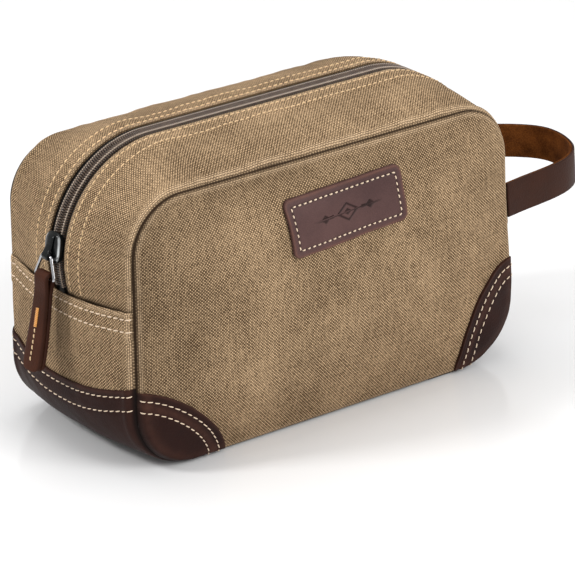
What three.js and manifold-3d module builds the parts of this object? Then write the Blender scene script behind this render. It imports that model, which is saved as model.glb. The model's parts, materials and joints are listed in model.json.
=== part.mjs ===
// A shaving kit bag of canvas and leather, in millimetres, +Z up.
// The bag stands on its flat bottom with the origin at the middle of it: X runs along the bag, from the
// zip's closed end at -X to the wrist strap at +X, and the front panel with the label faces -Y.
//
// A front and a back panel are sewn to a gusset that runs right round between them. Above the end bands
// the gusset is two zip strips with the zip between; below them it is canvas, then leather, then canvas.
// The panels bend at the height of the end bands, so each is a lower and an upper solid, and the mouth
// opens as the two upper halves lean apart about the outsides of the panels. The zip strips reach down
// behind the end bands, so that nothing gapes at the ends when they do.
import * as THREE from 'three';
import Module from 'manifold-3d';

// The bag's body
const halfLength = 120; // to the seams at either end
const halfDepth = 53; // to the planes in which the panels are sewn on
const seamTop = 145; // height of the panels' upper seam
const topCorner = 30; // radius of the panels' upper corners
const bottomCorner = 34; // radius of the panels' lower corners
const panelCrown = 12; // how far a filled panel stands out at its middle

// Layers
const canvas = 1.6;
const leather = 1.8;
const lining = 0.6;
const gap = 0.3; // between pieces that touch

// The zip's track, an arc at each end joined by a straight run along the top
const trackRadius = 56; // to the canvas beside the zip
const trackCentre = { x: -72.5, z: 102 }; // the arc's centre at the -X end
const slotHalf = 7.5; // from the zip's middle to the canvas edge
const tapeHalf = 15;
const tape = 0.8;
const coilOuter = 4.3; // from the zip's middle to the coil's outer edge
const coilInner = 0.8; // and to its inner edge
const coilHeight = 2.2;

// The mouth
const foldHeight = 87; // the end bands' upper edge, where the panels bend
const tailLength = 19; // how far the zip strips reach down behind the bands
const tailInset = 1.5; // how far the tails lie behind the zip strips' own surface
const tailTrim = 3; // how much further apart the tapes' tails end than they start

// The leather trim
const leatherTop = 40; // height of the leather at the middle of the ends
const leatherRise = 8; // how much higher it is at the seams
const leatherReach = 68; // from the middle of the bottom to the leather's edge
const leatherProud = 1.2; // how far the end leather stands out
const bandProud = 0.5; // and the end canvas, over the zip strips' tails
const endBelly = 7; // how far the ends bulge above their lower corners
const patchSize = { left: [52, 46], right: [37, 57] }; // along the bottom seam and up the end seam
const patchFullness = { left: 1.5, right: 2.2 }; // 1 gives a straight free edge and 2 an elliptical one
const patchTrim = 0.02; // share of the free edge left off at each seam

// The label
const labelHalf = { x: 36.5, z: 15.2 };
const labelCorner = 4;
const labelCentre = { x: 7, z: 114.5 };
const labelTilt = THREE.MathUtils.degToRad(3);

// The wrist strap
const strapThick = 2.2;
const strapLow = 78;
const strapHigh = 97;
const strapLine = [
  [122, -51.5], [135, -49], [148, -47], [161, -44.5], [173, -40.5], [183, -34], [190, -25], [194.5, -13],
  [195.5, -3], [194, 4], [190, 10.5], [182, 18.5], [170, 27], [155, 35.5], [140, 43], [122, 51],
];

// The slider and its pull
const sliderArc = THREE.MathUtils.degToRad(6.9); // half its length, as an angle about the track's centre
const sliderHalf = 6.4;
const sliderRest = THREE.MathUtils.degToRad(7.5); // where it lies when the bag is shut
const plateLift = 0.6; // from the coils to the plate over them
const plateThick = 1.6;
const footThick = 1.3; // of the plate inside the bag
const footDrop = 0.4; // and how far it lies under the tape
const wedgeHalf = 0.5;
const bite = 0.1; // how far joined parts reach into each other
const bridgeHalf = 2;
const bridgeWall = 1.2; // round the ring's bar
const pivotHeight = 5.6; // of the ring's bar over the canvas
const pivotSet = THREE.MathUtils.degToRad(3.5); // how far it lies below the slider's middle
const wire = 1.9;
const ringLength = 11; // from bar to bar
const ringTopHalf = 3; // half the ring's opening under the bridge
const ringFootHalf = 8; // and at the pull tab
const tabHalf = 6.25;
const tabLength = 49.5;
const tabThick = 4.6;
const barHole = 1.45; // radius of the holes that the ring's bars turn in
const hangLean = THREE.MathUtils.degToRad(9); // of the ring and the tab, away from the bag
const tackHalf = 0.8;
const tackTop = 16; // below the ring's lower bar
const tackLength = 10;
const tackThick = 0.6;
const tackGap = 0.05; // between the tack and the tab

const bag = new THREE.Group();
const wasm = await Module();
wasm.setup();

const finishes = {
  canvas: new THREE.MeshStandardMaterial({ color: 0x8a6f4d, roughness: 0.92, metalness: 0 }),
  leather: new THREE.MeshStandardMaterial({ color: 0x3b2019, roughness: 0.5, metalness: 0 }),
  lining: new THREE.MeshStandardMaterial({ color: 0x4a3c2e, roughness: 0.8, metalness: 0 }),
  tape: new THREE.MeshStandardMaterial({ color: 0x1c1713, roughness: 0.9, metalness: 0 }),
  coil: new THREE.MeshStandardMaterial({ color: 0x4c3d33, roughness: 0.35, metalness: 0 }),
  metal: new THREE.MeshStandardMaterial({ color: 0x1d1f20, roughness: 0.25, metalness: 1 }),
  thread: new THREE.MeshStandardMaterial({ color: 0xd9a04e, roughness: 0.7, metalness: 0 }),
};

function addPiece(name, geometry, finish) {
  const mesh = new THREE.Mesh(geometry, finishes[finish]);
  mesh.name = name;
  bag.add(mesh);
  return mesh;
}

// A closed geometry from points and triangles. Points at one place are joined, triangles that collapse
// are dropped, and all are turned round if they face inwards.
function closedGeometry(points, triangles) {
  const seen = new Map();
  const kept = [];
  const same = points.map((p) => {
    const key = p.map((c) => Math.round(c * 1000)).join();
    if (!seen.has(key)) {
      seen.set(key, kept.length);
      kept.push(p);
    }
    return seen.get(key);
  });
  const faces = triangles
    .map((t) => t.map((i) => same[i]))
    .filter(([a, b, c]) => a !== b && b !== c && a !== c);
  const volume = faces.reduce((sum, [a, b, c]) => {
    const [p, q, r] = [kept[a], kept[b], kept[c]].map((v) => new THREE.Vector3(...v));
    return sum + p.dot(q.cross(r));
  }, 0);
  const index = faces.flatMap(([a, b, c]) => (volume < 0 ? [a, c, b] : [a, b, c]));
  return new THREE.BufferGeometry()
    .setAttribute('position', new THREE.Float32BufferAttribute(kept.flat(), 3))
    .setIndex(index);
}

// A sheet of material: skin(u, v, depth) is the point at u along, v across (both 0 to 1) and depth
// (0 on the outside, 1 on the inside).
function sheet(along, across, skin) {
  const points = [];
  const triangles = [];
  const at = (i, j, side) => (side * (along + 1) + i) * (across + 1) + j;
  const quad = (a, b, c, d) => triangles.push([a, b, c], [a, c, d]);
  for (const side of [0, 1]) {
    for (let i = 0; i <= along; i++) {
      for (let j = 0; j <= across; j++) points.push(skin(i / along, j / across, side));
    }
  }
  for (let i = 0; i < along; i++) {
    for (let j = 0; j < across; j++) {
      quad(at(i, j, 0), at(i + 1, j, 0), at(i + 1, j + 1, 0), at(i, j + 1, 0));
      quad(at(i, j, 1), at(i, j + 1, 1), at(i + 1, j + 1, 1), at(i + 1, j, 1));
    }
    quad(at(i, 0, 0), at(i, 0, 1), at(i + 1, 0, 1), at(i + 1, 0, 0));
    quad(at(i, across, 0), at(i + 1, across, 0), at(i + 1, across, 1), at(i, across, 1));
  }
  for (let j = 0; j < across; j++) {
    quad(at(0, j, 0), at(0, j + 1, 0), at(0, j + 1, 1), at(0, j, 1));
    quad(at(along, j, 0), at(along, j, 1), at(along, j + 1, 1), at(along, j + 1, 0));
  }
  return closedGeometry(points, triangles);
}

function toSolid(geometry) {
  return new wasm.Manifold(
    new wasm.Mesh({
      numProp: 3,
      vertProperties: new Float32Array(geometry.getAttribute('position').array),
      triVerts: new Uint32Array(geometry.index.array),
    }),
  );
}

function toGeometry(solid) {
  const made = solid.getMesh();
  const geometry = new THREE.BufferGeometry();
  geometry.setAttribute('position', new THREE.BufferAttribute(made.vertProperties, 3));
  geometry.setIndex(new THREE.BufferAttribute(made.triVerts, 1));
  return geometry;
}

// An outline in the XZ plane, given as a THREE.Shape, made into a solid from y = from to y = to.
function slice(shape, from, to, roundness = 8) {
  const depth = to - from;
  const raw = new THREE.ExtrudeGeometry(shape, { depth, bevelEnabled: false, curveSegments: roundness });
  raw.rotateX(Math.PI / 2).translate(0, to, 0);
  const position = raw.getAttribute('position');
  const points = [];
  const triangles = [];
  for (let i = 0; i < position.count; i++) {
    points.push([position.getX(i), position.getY(i), position.getZ(i)]);
    if (i % 3 === 2) triangles.push([i - 2, i - 1, i]);
  }
  return toSolid(closedGeometry(points, triangles));
}

const mix = THREE.MathUtils.lerp;

// ---- The panels ----

// Half the panel's width at a height, less an inset all round.
function halfWidthAt(z, inset = 0) {
  const over = z - (seamTop - topCorner);
  const under = bottomCorner - z;
  const corner = over > 0 ? topCorner : bottomCorner;
  const rise = Math.max(over, under, 0);
  const radius = corner - inset;
  return halfLength - corner + (rise > 0 ? Math.sqrt(Math.max(radius ** 2 - rise ** 2, 0)) : radius);
}

// How far a panel stands out at a point: nothing at its seams, most at its middle.
function crownAt(x, z) {
  const across = Math.min(Math.abs(x) / halfWidthAt(z), 1);
  const up = THREE.MathUtils.clamp(z / seamTop, 0, 1);
  return panelCrown * (1 - across ** 3) * 4 * up * (1 - up);
}

// One half of a panel or of its lining, from one height to another. side is -1 at the front and 1 at the
// back; offset is how far its outer face lies outside the sewing plane.
function panelHalf(side, low, high, offset, thick, inset, columns, rows) {
  return sheet(columns, rows, (u, v, depth) => {
    const z = mix(low, high, v);
    const x = (2 * u - 1) * halfWidthAt(z, inset);
    return [x, side * (halfDepth + offset - depth * thick + crownAt(x, z)), z];
  });
}

const liningInset = 7; // all round, clear of the seams
const liningGap = 0.9; // between the lining and the canvas, which bends more coarsely
for (const [side, name] of [[-1, 'front'], [1, 'back']]) {
  const half = (low, high) => panelHalf(side, low, high, canvas, canvas, 0, 16, 7);
  const lined = (low, high) => panelHalf(side, low, high, -liningGap, lining, liningInset, 16, 5);
  addPiece(`${name}_panel_lower`, half(0, foldHeight), 'canvas');
  addPiece(`${name}_panel_upper`, half(foldHeight + gap, seamTop), 'canvas');
  addPiece(`${name}_lining_lower`, lined(liningInset, foldHeight), 'lining');
  addPiece(`${name}_lining_upper`, lined(foldHeight + gap, seamTop - liningInset), 'lining');
}

// ---- The leather corner patches, on the panels ----

function cornerPatch(side, end, hand) {
  const [width, height] = patchSize[hand];
  const power = 2 / patchFullness[hand];
  return sheet(10, 4, (u, v, depth) => {
    const turn = mix(patchTrim, 1 - patchTrim, u) * (Math.PI / 2);
    const free = [
      halfLength - width * Math.sin(turn) ** power,
      height * Math.cos(turn) ** power,
    ];
    const wall = height - bottomCorner;
    const floor = width - bottomCorner;
    const quarter = (bottomCorner * Math.PI) / 2;
    const along = u * (wall + quarter + floor);
    const round = THREE.MathUtils.clamp((along - wall) / bottomCorner, 0, Math.PI / 2);
    const sewn = [
      halfLength - bottomCorner * (1 - Math.cos(round)) - Math.max(along - wall - quarter, 0),
      Math.max(wall - along, 0) + bottomCorner * (1 - Math.sin(round)),
    ];
    const x = mix(sewn[0], free[0], v);
    const z = mix(sewn[1], free[1], v);
    const y = halfDepth + canvas + gap + leather - depth * leather + crownAt(x, z);
    return [end * x, side * y, z];
  });
}

for (const [side, face] of [[-1, 'front'], [1, 'back']]) {
  for (const [end, hand] of [[-1, 'left'], [1, 'right']]) {
    addPiece(`${face}_${hand}_corner_patch`, cornerPatch(side, end, hand), 'leather');
  }
}

// ---- The zip strips, the zip's tapes and its coils ----

// A station is a line across the gusset: a place inside the bag, the way out from it, and how far out
// the zip's middle and the seams lie.
function seamReach(x, z, outX, outZ) {
  let near = 0;
  let far = halfLength;
  for (let step = 0; step < 40; step++) {
    const half = (near + far) / 2;
    const inside = z + half * outZ < seamTop && Math.abs(x + half * outX) < halfWidthAt(z + half * outZ);
    if (inside) near = half;
    else far = half;
  }
  return near;
}

function station(x, z, outX, outZ, middle, inset = 0) {
  return { x, z, outX, outZ, inset, middle, seam: seamReach(x, z, outX, outZ) };
}

const footAngle = Math.asin((trackCentre.z - foldHeight - 2 * gap) / trackRadius);
const footReach = trackRadius * Math.cos(footAngle);

// The stations from the end of the tail behind the left band, round the track, to that behind the right.
function trackStations(tail, arcSteps, topSteps) {
  const left = [];
  for (const drop of tail) {
    left.push(station(trackCentre.x, foldHeight - drop, -1, 0, footReach, tailInset));
  }
  for (let step = 0; step <= arcSteps; step++) {
    const angle = mix(-footAngle, Math.PI / 2, step / arcSteps);
    left.push(station(trackCentre.x, trackCentre.z, -Math.cos(angle), Math.sin(angle), trackRadius));
  }
  const right = left.map((s) => ({ ...s, x: -s.x, outX: -s.outX })).reverse();
  const top = [];
  for (let step = 1; step < topSteps; step++) {
    top.push(station(mix(trackCentre.x, -trackCentre.x, step / topSteps), trackCentre.z, 0, 1, trackRadius));
  }
  return [...left, ...top, ...right];
}

// The point of the gusset's outer surface at a station, y from the zip's middle, and sunk below it.
function gussetPoint(s, y, sunk) {
  const away = Math.max((Math.abs(y) - slotHalf) / (halfDepth - slotHalf), 0);
  const reach = mix(s.middle, s.seam, away ** 2) - s.inset - sunk;
  return [s.x + reach * s.outX, y, s.z + reach * s.outZ];
}

// A strip of the gusset between two distances from the zip's middle. trim moves its inner edge out along
// the tails, so that the two tails keep apart as the mouth opens.
function gussetStrip(side, stations, inner, outer, top, thick, columns, trim = 0) {
  const lowest = foldHeight - tailLength;
  return sheet(stations.length - 1, columns, (u, v, depth) => {
    const s = stations[Math.round(u * (stations.length - 1))];
    const down = s.inset ? (foldHeight - s.z) / (foldHeight - lowest) : 0;
    return gussetPoint(s, side * mix(inner + trim * down, outer, v), top + depth * thick);
  });
}

const tailDrops = [tailLength, tailLength / 2, -gap];
const fabricStations = trackStations(tailDrops, 11, 6);
const trackOnly = trackStations([], 11, 6);
for (const [side, name] of [[-1, 'front'], [1, 'back']]) {
  const strip = gussetStrip(side, fabricStations, slotHalf, halfDepth - gap, 0, canvas, 4);
  addPiece(`${name}_zip_strip`, strip, 'canvas');
  const tapeTop = canvas + gap;
  const tapeStrip = gussetStrip(side, fabricStations, coilInner, tapeHalf, tapeTop, tape, 2, tailTrim);
  addPiece(`${name}_zip_tape`, tapeStrip, 'tape');
  const coilTop = tapeTop - gap - coilHeight;
  const coil = gussetStrip(side, trackOnly, coilInner, coilOuter, coilTop, coilHeight, 1);
  addPiece(`${name}_zip_coil`, coil, 'coil');
  const liningTop = canvas + 2 * gap;
  const linedStrip = gussetStrip(side, trackOnly, tapeHalf + 1, halfDepth - 1, liningTop, lining, 3);
  addPiece(`${name}_zip_strip_lining`, linedStrip, 'lining');
}

// ---- The lower gusset: end canvas with its band, end leather, bottom canvas and lining ----

// A point of the lower gusset. along runs from the bottom's middle, round the corner and up the end.
function lowerPoint(end, along, y, out) {
  const floor = halfLength - bottomCorner;
  const quarter = (bottomCorner * Math.PI) / 2;
  const round = THREE.MathUtils.clamp((along - floor) / bottomCorner, 0, Math.PI / 2);
  const up = Math.max(along - floor - quarter, 0) / (foldHeight - bottomCorner);
  const middle = (footReach - trackCentre.x - halfLength) * up + endBelly * (1 - up * up);
  const away = Math.max((Math.abs(y) - slotHalf) / (halfDepth - slotHalf), 0);
  const reach = bottomCorner + out + middle * (1 - away ** 2) * Math.sin(round) ** 2;
  const x = Math.min(along, floor) + reach * Math.sin(round);
  const z = bottomCorner - reach * Math.cos(round) + up * (foldHeight - bottomCorner);
  return [end * x, y, z];
}

// How far round the corner a place along the lower gusset is, from 0 on the bottom to 1 on the end.
function cornerShare(along) {
  return THREE.MathUtils.smoothstep(along, halfLength - bottomCorner, alongTo(bottomCorner));
}

// The distance along the lower gusset to a height on the end.
function alongTo(height) {
  return halfLength - bottomCorner + (bottomCorner * Math.PI) / 2 + height - bottomCorner;
}

// A strip of the lower gusset over the whole depth, between two places along it that may change with y.
// proud(along) is how far it stands out.
function lowerStrip(end, from, to, proud, thick, rows) {
  const half = halfDepth - gap;
  return sheet(rows, 6, (u, v, depth) => {
    const y = mix(-half, half, v);
    const along = mix(from(y), to(y), u);
    return lowerPoint(end, along, y, proud(along) - depth * thick);
  });
}

// Where the canvas of an end meets its leather.
function leatherEdge(y) {
  return alongTo(leatherTop + leatherRise * (y / halfDepth) ** 2);
}

for (const [end, name] of [[-1, 'left'], [1, 'right']]) {
  const canvasFoot = (y) => leatherEdge(y) + gap;
  const canvasStrip = lowerStrip(end, canvasFoot, () => alongTo(foldHeight), () => bandProud, canvas, 5);
  addPiece(`${name}_end_canvas`, canvasStrip, 'canvas');
  const proud = (along) => leatherProud * cornerShare(along);
  const leatherStrip = lowerStrip(end, () => leatherReach + gap, leatherEdge, proud, leather, 10);
  addPiece(`${name}_end_leather`, leatherStrip, 'leather');
}

addPiece(
  'bottom_canvas',
  sheet(2, 2, (u, v, depth) => [
    mix(-leatherReach, leatherReach, u),
    mix(-halfDepth + gap, halfDepth - gap, v),
    depth * canvas,
  ]),
  'canvas',
);

const liningDepth = 50; // half the lower lining's width
const liningSunk = 6.8; // below the gusset's outer surface, clear of the zip tapes' tails
addPiece(
  'lower_gusset_lining',
  sheet(26, 2, (u, v, depth) => {
    const along = (2 * u - 1) * alongTo(foldHeight - 1);
    const end = along < 0 ? -1 : 1;
    return lowerPoint(end, Math.abs(along), mix(-liningDepth, liningDepth, v), -liningSunk - depth * lining);
  }),
  'lining',
);

// ---- The label ----

addPiece(
  'label',
  sheet(10, 8, (u, v, depth) => {
    const up = mix(-labelHalf.z, labelHalf.z, v);
    const into = Math.max(Math.abs(up) - (labelHalf.z - labelCorner), 0);
    const half = labelHalf.x - labelCorner + Math.sqrt(Math.max(labelCorner ** 2 - into ** 2, 0));
    const along = mix(-half, half, u);
    const x = labelCentre.x + along * Math.cos(labelTilt) - up * Math.sin(labelTilt);
    const z = labelCentre.z + along * Math.sin(labelTilt) + up * Math.cos(labelTilt);
    const lift = canvas + 2 * gap + leather * (1 - depth);
    return [x, -(halfDepth + lift + crownAt(x, z)), z];
  }),
  'leather',
);

// ---- The wrist strap, sewn into the two seams of the right end ----

const strapCurve = new THREE.CatmullRomCurve3(strapLine.map(([x, y]) => new THREE.Vector3(x, y, 0)));
addPiece(
  'wrist_strap',
  sheet(36, 1, (u, v, depth) => {
    const place = strapCurve.getPointAt(u);
    const ahead = strapCurve.getTangentAt(u);
    const out = (0.5 - depth) * strapThick;
    return [place.x + out * ahead.y, place.y - out * ahead.x, mix(strapLow, strapHigh, v)];
  }),
  'leather',
);

// ---- The slider: two plates round the coils, a wedge between them and a bridge for the ring ----

// A point in the XZ plane, out from the track's centre and round from the slider's middle.
function trackPoint(reach, angle) {
  const turned = sliderRest + angle;
  return [trackCentre.x - reach * Math.cos(turned), trackCentre.z + reach * Math.sin(turned)];
}

// A curved bar about the track's centre between two reaches and two angles.
function arcBar(inner, outer, from, to, steps = 6) {
  const points = [];
  for (let step = 0; step <= steps; step++) points.push(trackPoint(inner, mix(from, to, step / steps)));
  for (let step = steps; step >= 0; step--) points.push(trackPoint(outer, mix(from, to, step / steps)));
  return new THREE.Shape(points.map(([x, z]) => new THREE.Vector2(x, z)));
}

const coilCrest = trackRadius - canvas + coilHeight; // how far out the coils reach
const plateLow = coilCrest + plateLift;
const plateHigh = plateLow + plateThick;
const plateFoot = trackRadius - canvas - gap - tape - footDrop; // the upper face of the plate inside the bag
const wallInner = coilOuter + plateLift; // from the zip's middle to the slider's side walls
const [pivotX, pivotZ] = trackPoint(trackRadius + pivotHeight, -pivotSet);

// A block between two reaches over the slider's whole length.
function sliderBlock(low, high, from, to) {
  return slice(arcBar(low, high, -sliderArc, sliderArc), from, to);
}

function sliderSolid() {
  const topPlate = sliderBlock(plateLow, plateHigh, -sliderHalf, sliderHalf);
  // The plate inside the bag stops at the zip's middle: the back half of the zip leaves past its edge.
  const footPlate = sliderBlock(plateFoot - footThick, plateFoot, -sliderHalf, wedgeHalf);
  const wedgeSide = arcBar(plateFoot - bite, plateLow + bite, -sliderArc, -0.6 * sliderArc);
  const wedge = slice(wedgeSide, -wedgeHalf, wedgeHalf);
  const flange = sliderBlock(trackRadius - 1, plateLow + bite, -sliderHalf, -wallInner);
  const lip = sliderBlock(plateLow - gap, plateLow + bite, wallInner, sliderHalf);
  const hump = new THREE.Shape();
  const humpFoot = plateLow + plateThick / 3;
  hump.moveTo(...trackPoint(humpFoot, -0.95 * sliderArc));
  hump.lineTo(...trackPoint(humpFoot, 0.5 * sliderArc));
  hump.absarc(pivotX, pivotZ, barHole + bridgeWall, Math.PI * 0.4, Math.PI * 1.6, false);
  const hole = new THREE.Shape().absarc(pivotX, pivotZ, barHole, 0, 2 * Math.PI, false);
  const bore = slice(hole, -bridgeHalf - 1, bridgeHalf + 1, 10);
  const bridge = slice(hump, -bridgeHalf, bridgeHalf).subtract(bore);
  return [footPlate, wedge, flange, lip, bridge].reduce((whole, part) => whole.add(part), topPlate);
}

addPiece('slider', toGeometry(sliderSolid()), 'metal');

// ---- The ring and the leather pull tab ----

const footZ = pivotZ - ringLength; // the height of the ring's lower bar, before the pull leans out

// The ring and the tab are made hanging straight down, then lean out about the ring's upper bar.
function leanOut(geometry) {
  return geometry.translate(-pivotX, 0, -pivotZ).rotateY(hangLean).translate(pivotX, 0, pivotZ);
}

// The ring is drawn flat, with its upper bar on the origin and its lower bar below it, then stood up.
function ringGeometry() {
  const half = wire / 2;
  const outline = (topHalf, footHalf, top, foot) => [
    new THREE.Vector2(-topHalf, top),
    new THREE.Vector2(-footHalf, foot),
    new THREE.Vector2(footHalf, foot),
    new THREE.Vector2(topHalf, top),
  ];
  const shape = new THREE.Shape(outline(ringTopHalf + wire, ringFootHalf + wire, half, -ringLength - half));
  shape.holes.push(new THREE.Path(outline(ringTopHalf, ringFootHalf, -half, -ringLength + half)));
  const flat = new THREE.ExtrudeGeometry(shape, { depth: wire, bevelEnabled: false });
  flat.translate(0, 0, -half);
  return flat.rotateX(Math.PI / 2).rotateZ(-Math.PI / 2).translate(pivotX, 0, pivotZ);
}

addPiece('pull_ring', leanOut(ringGeometry()), 'metal');

// The tab is one strip of leather folded round the ring's lower bar and stitched to itself.
function tabSolid() {
  const end = tabLength - tabHalf;
  const outline = new THREE.Shape();
  outline.moveTo(-tabHalf, 0);
  outline.lineTo(-tabHalf, -end);
  outline.absarc(0, -end, tabHalf, Math.PI, 2 * Math.PI, false);
  outline.lineTo(tabHalf, 0);
  const extrusion = { depth: tabThick, bevelEnabled: false, curveSegments: 12 };
  const flat = new THREE.ExtrudeGeometry(outline, extrusion);
  flat.translate(0, 0, -tabThick / 2);
  flat.rotateX(Math.PI / 2).rotateZ(-Math.PI / 2).translate(pivotX, 0, footZ);
  const position = flat.getAttribute('position');
  const points = [];
  const triangles = [];
  for (let i = 0; i < position.count; i++) {
    points.push([position.getX(i), position.getY(i), position.getZ(i)]);
    if (i % 3 === 2) triangles.push([i - 2, i - 1, i]);
  }
  const strap = toSolid(closedGeometry(points, triangles));
  const fold = new THREE.Shape().absarc(pivotX, footZ, barHole + leather, 0, 2 * Math.PI, false);
  const eye = new THREE.Shape().absarc(pivotX, footZ, barHole, 0, 2 * Math.PI, false);
  return strap.add(slice(fold, -tabHalf, tabHalf, 12)).subtract(slice(eye, -tabHalf - 1, tabHalf + 1, 10));
}

addPiece('pull_tab', leanOut(toGeometry(tabSolid())), 'leather');

const tackGeometry = sheet(2, 2, (u, v, depth) => [
  pivotX - tabThick / 2 - tackGap - tackThick * (1 - depth),
  mix(-tackHalf, tackHalf, u),
  footZ - tackTop - tackLength * v,
]);
addPiece('pull_tab_tack', leanOut(tackGeometry), 'thread');

export default bag;
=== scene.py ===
import json
import math

import bpy
import bmesh
import numpy as np
from mathutils import Matrix, Vector


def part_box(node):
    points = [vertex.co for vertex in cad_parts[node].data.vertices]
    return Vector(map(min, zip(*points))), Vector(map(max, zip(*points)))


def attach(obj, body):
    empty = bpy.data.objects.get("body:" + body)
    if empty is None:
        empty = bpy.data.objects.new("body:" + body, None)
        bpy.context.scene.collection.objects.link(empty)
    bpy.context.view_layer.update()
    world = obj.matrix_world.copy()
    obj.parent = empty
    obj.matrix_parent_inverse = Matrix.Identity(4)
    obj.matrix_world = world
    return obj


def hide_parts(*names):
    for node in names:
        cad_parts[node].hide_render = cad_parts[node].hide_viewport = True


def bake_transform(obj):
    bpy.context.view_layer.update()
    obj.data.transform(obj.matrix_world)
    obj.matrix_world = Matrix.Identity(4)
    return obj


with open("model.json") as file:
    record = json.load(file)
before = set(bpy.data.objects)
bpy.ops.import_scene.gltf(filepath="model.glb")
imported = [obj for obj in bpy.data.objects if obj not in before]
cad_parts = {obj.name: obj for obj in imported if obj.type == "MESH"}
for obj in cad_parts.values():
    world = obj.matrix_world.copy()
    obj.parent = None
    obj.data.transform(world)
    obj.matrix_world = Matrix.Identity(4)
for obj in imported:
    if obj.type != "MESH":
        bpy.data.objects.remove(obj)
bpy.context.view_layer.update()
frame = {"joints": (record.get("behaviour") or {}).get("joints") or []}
mm = 0.001
joint = {j["name"]: j for j in frame["joints"]}

panelLow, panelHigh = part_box("front_panel_lower"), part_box("front_panel_upper")
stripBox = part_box("front_zip_strip")
track = joint["slider_travel"]["pos_m"]

bag = {
    "halfLength": panelLow[1].x,
    "halfDepth": -panelLow[1].y,  # to the plane that each panel is sewn in
    "top": panelHigh[1].z,
    "topCorner": 30 * mm,
    "bottomCorner": 34 * mm,
    "fold": panelLow[1].z,  # height of the end bands, where the mouth bends
    "crown": 11 * mm,
    "trackRadius": stripBox[1].z - track[2],
    "trackX": -track[0],  # the two ends of the zip's straight run
    "trackZ": track[2],
    "slot": 6.6 * mm,  # from the zip's middle to the canvas
    "endBelly": 7 * mm,
    "groove": 2.2 * mm,  # depth of the turned seams
    "roll": 3.0 * mm,  # width of the rounding beside them
}
seamGap = 0.35 * mm  # from the seam itself to the edge of a piece


# Eases a share, held between 0 and 1: three times its square less twice its cube.
def smooth(t):
    t = np.clip(t, 0, 1)
    return t * t * (3 - 2 * t)


# The way from a to b by the share t: a plus t times their difference.
def mix(a, b, t):
    return a + (b - a) * t


# A wandering height of about -1 to 1: sine waves in random directions, of about the given length, added
# and divided by the square root of their number.
def wander(points, length, seed, waves=9):
    rng = np.random.default_rng(seed)
    total = np.zeros(points.shape[:-1])
    for _ in range(waves):
        way = rng.normal(size=3)
        way *= rng.uniform(0.6, 1.6) * 2 * math.pi / length / np.linalg.norm(way)
        total += np.sin(points @ way + rng.uniform(0, 2 * math.pi))
    return total / math.sqrt(waves)


# Vectors divided by their own lengths.
def unit(v):
    return v / np.maximum(np.linalg.norm(v, axis=-1, keepdims=True), 1e-12)


# The length along a path at each of its points.
def lengthAlong(path):
    return np.concatenate([[0], np.cumsum(np.linalg.norm(np.diff(path, axis=0), axis=1))])


# A smooth curve through a few points, read at even distances. Each span is the cubic that passes through
# its two ends along the lines that join their neighbours.
def smoothRoute(points, count):
    ends = np.vstack([2 * points[0] - points[1], points, 2 * points[-1] - points[-2]])
    share = np.linspace(0, 1, 24, endpoint=False)[:, None]  # 24 steps a span
    spans = []
    for a, b, c, d in zip(ends, ends[1:], ends[2:], ends[3:]):
        spans.append(0.5 * (2 * b + (c - a) * share + (2 * a - 5 * b + 4 * c - d) * share ** 2
                            + (3 * b - a - 3 * c + d) * share ** 3))
    dense = np.vstack(spans + [points[-1:]])
    run = lengthAlong(dense)
    at = np.linspace(0, run[-1], count)
    return np.stack([np.interp(at, run, dense[:, k]) for k in (0, 1)], -1)


# The faces between neighbouring rows and columns of a grid of points; closed joins the last column to
# the first.
def gridFaces(rows, cols, closed=False, flip=False):
    index = np.arange(rows * cols).reshape(rows, cols)
    if closed:
        index = np.hstack([index, index[:, :1]])
    corners = [index[:-1, :-1], index[1:, :-1], index[1:, 1:], index[:-1, 1:]]
    return np.stack(corners[::-1] if flip else corners, -1).reshape(-1, 4)


# A mesh from a grid of points; weld merges points in one place.
def makeGrid(name, points, uv=None, marks=None, closed=False, flip=False, weld=False):
    faces = gridFaces(*points.shape[:2], closed, flip)
    return makeMesh(name, points.reshape(-1, 3), faces, uv, marks, weld)


# The filled bag slumps to its right: x grows by the reach, times an easing from start over the next
# spread, times a bell curve of the height.
slumpLook = {"reach": 4.2 * mm, "start": 50 * mm, "spread": 70 * mm, "height": 42 * mm, "tall": 42 * mm}


def slump(points):
    moved = points.copy()
    across = smooth((points[:, 0] - slumpLook["start"]) / slumpLook["spread"])
    share = across * np.exp(-((points[:, 2] - slumpLook["height"]) / slumpLook["tall"]) ** 2)
    moved[:, 0] += slumpLook["reach"] * share
    return moved


# A smooth-shaded mesh from points and faces, with its UV map and its marks, one value to a point.
def makeMesh(name, points, faces, uv=None, marks=None, weld=False):
    points = slump(points)
    mesh = bpy.data.meshes.new(name)
    mesh.from_pydata(points, [], faces)
    if uv is not None:
        layer = mesh.uv_layers.new(name="UVMap")
        corner = np.empty(len(mesh.loops), np.int32)
        mesh.loops.foreach_get("vertex_index", corner)
        layer.data.foreach_set("uv", uv.reshape(-1, 2)[corner].astype(np.float32).ravel())
    for mark, value in (marks or {}).items():
        made = mesh.attributes.new(mark, "FLOAT", "POINT")
        made.data.foreach_set("value", value.astype(np.float32).ravel())
    if weld:
        work = bmesh.new()
        work.from_mesh(mesh)
        bmesh.ops.remove_doubles(work, verts=work.verts, dist=1e-6)
        work.to_mesh(mesh)
        work.free()
    mesh.polygons.foreach_set("use_smooth", np.ones(len(mesh.polygons), bool))
    mesh.update()
    made = bpy.data.objects.new(name, mesh)
    bpy.context.collection.objects.link(made)
    return made


# Closes a piece's open ends with flat faces and turns all of its faces outwards.
def closeEnds(piece):
    work = bmesh.new()
    work.from_mesh(piece.data)
    bmesh.ops.holes_fill(work, edges=[edge for edge in work.edges if edge.is_boundary])
    bmesh.ops.recalc_face_normals(work, faces=work.faces)
    work.to_mesh(piece.data)
    work.free()
    return piece


floorGap = 0.02 * mm


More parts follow.
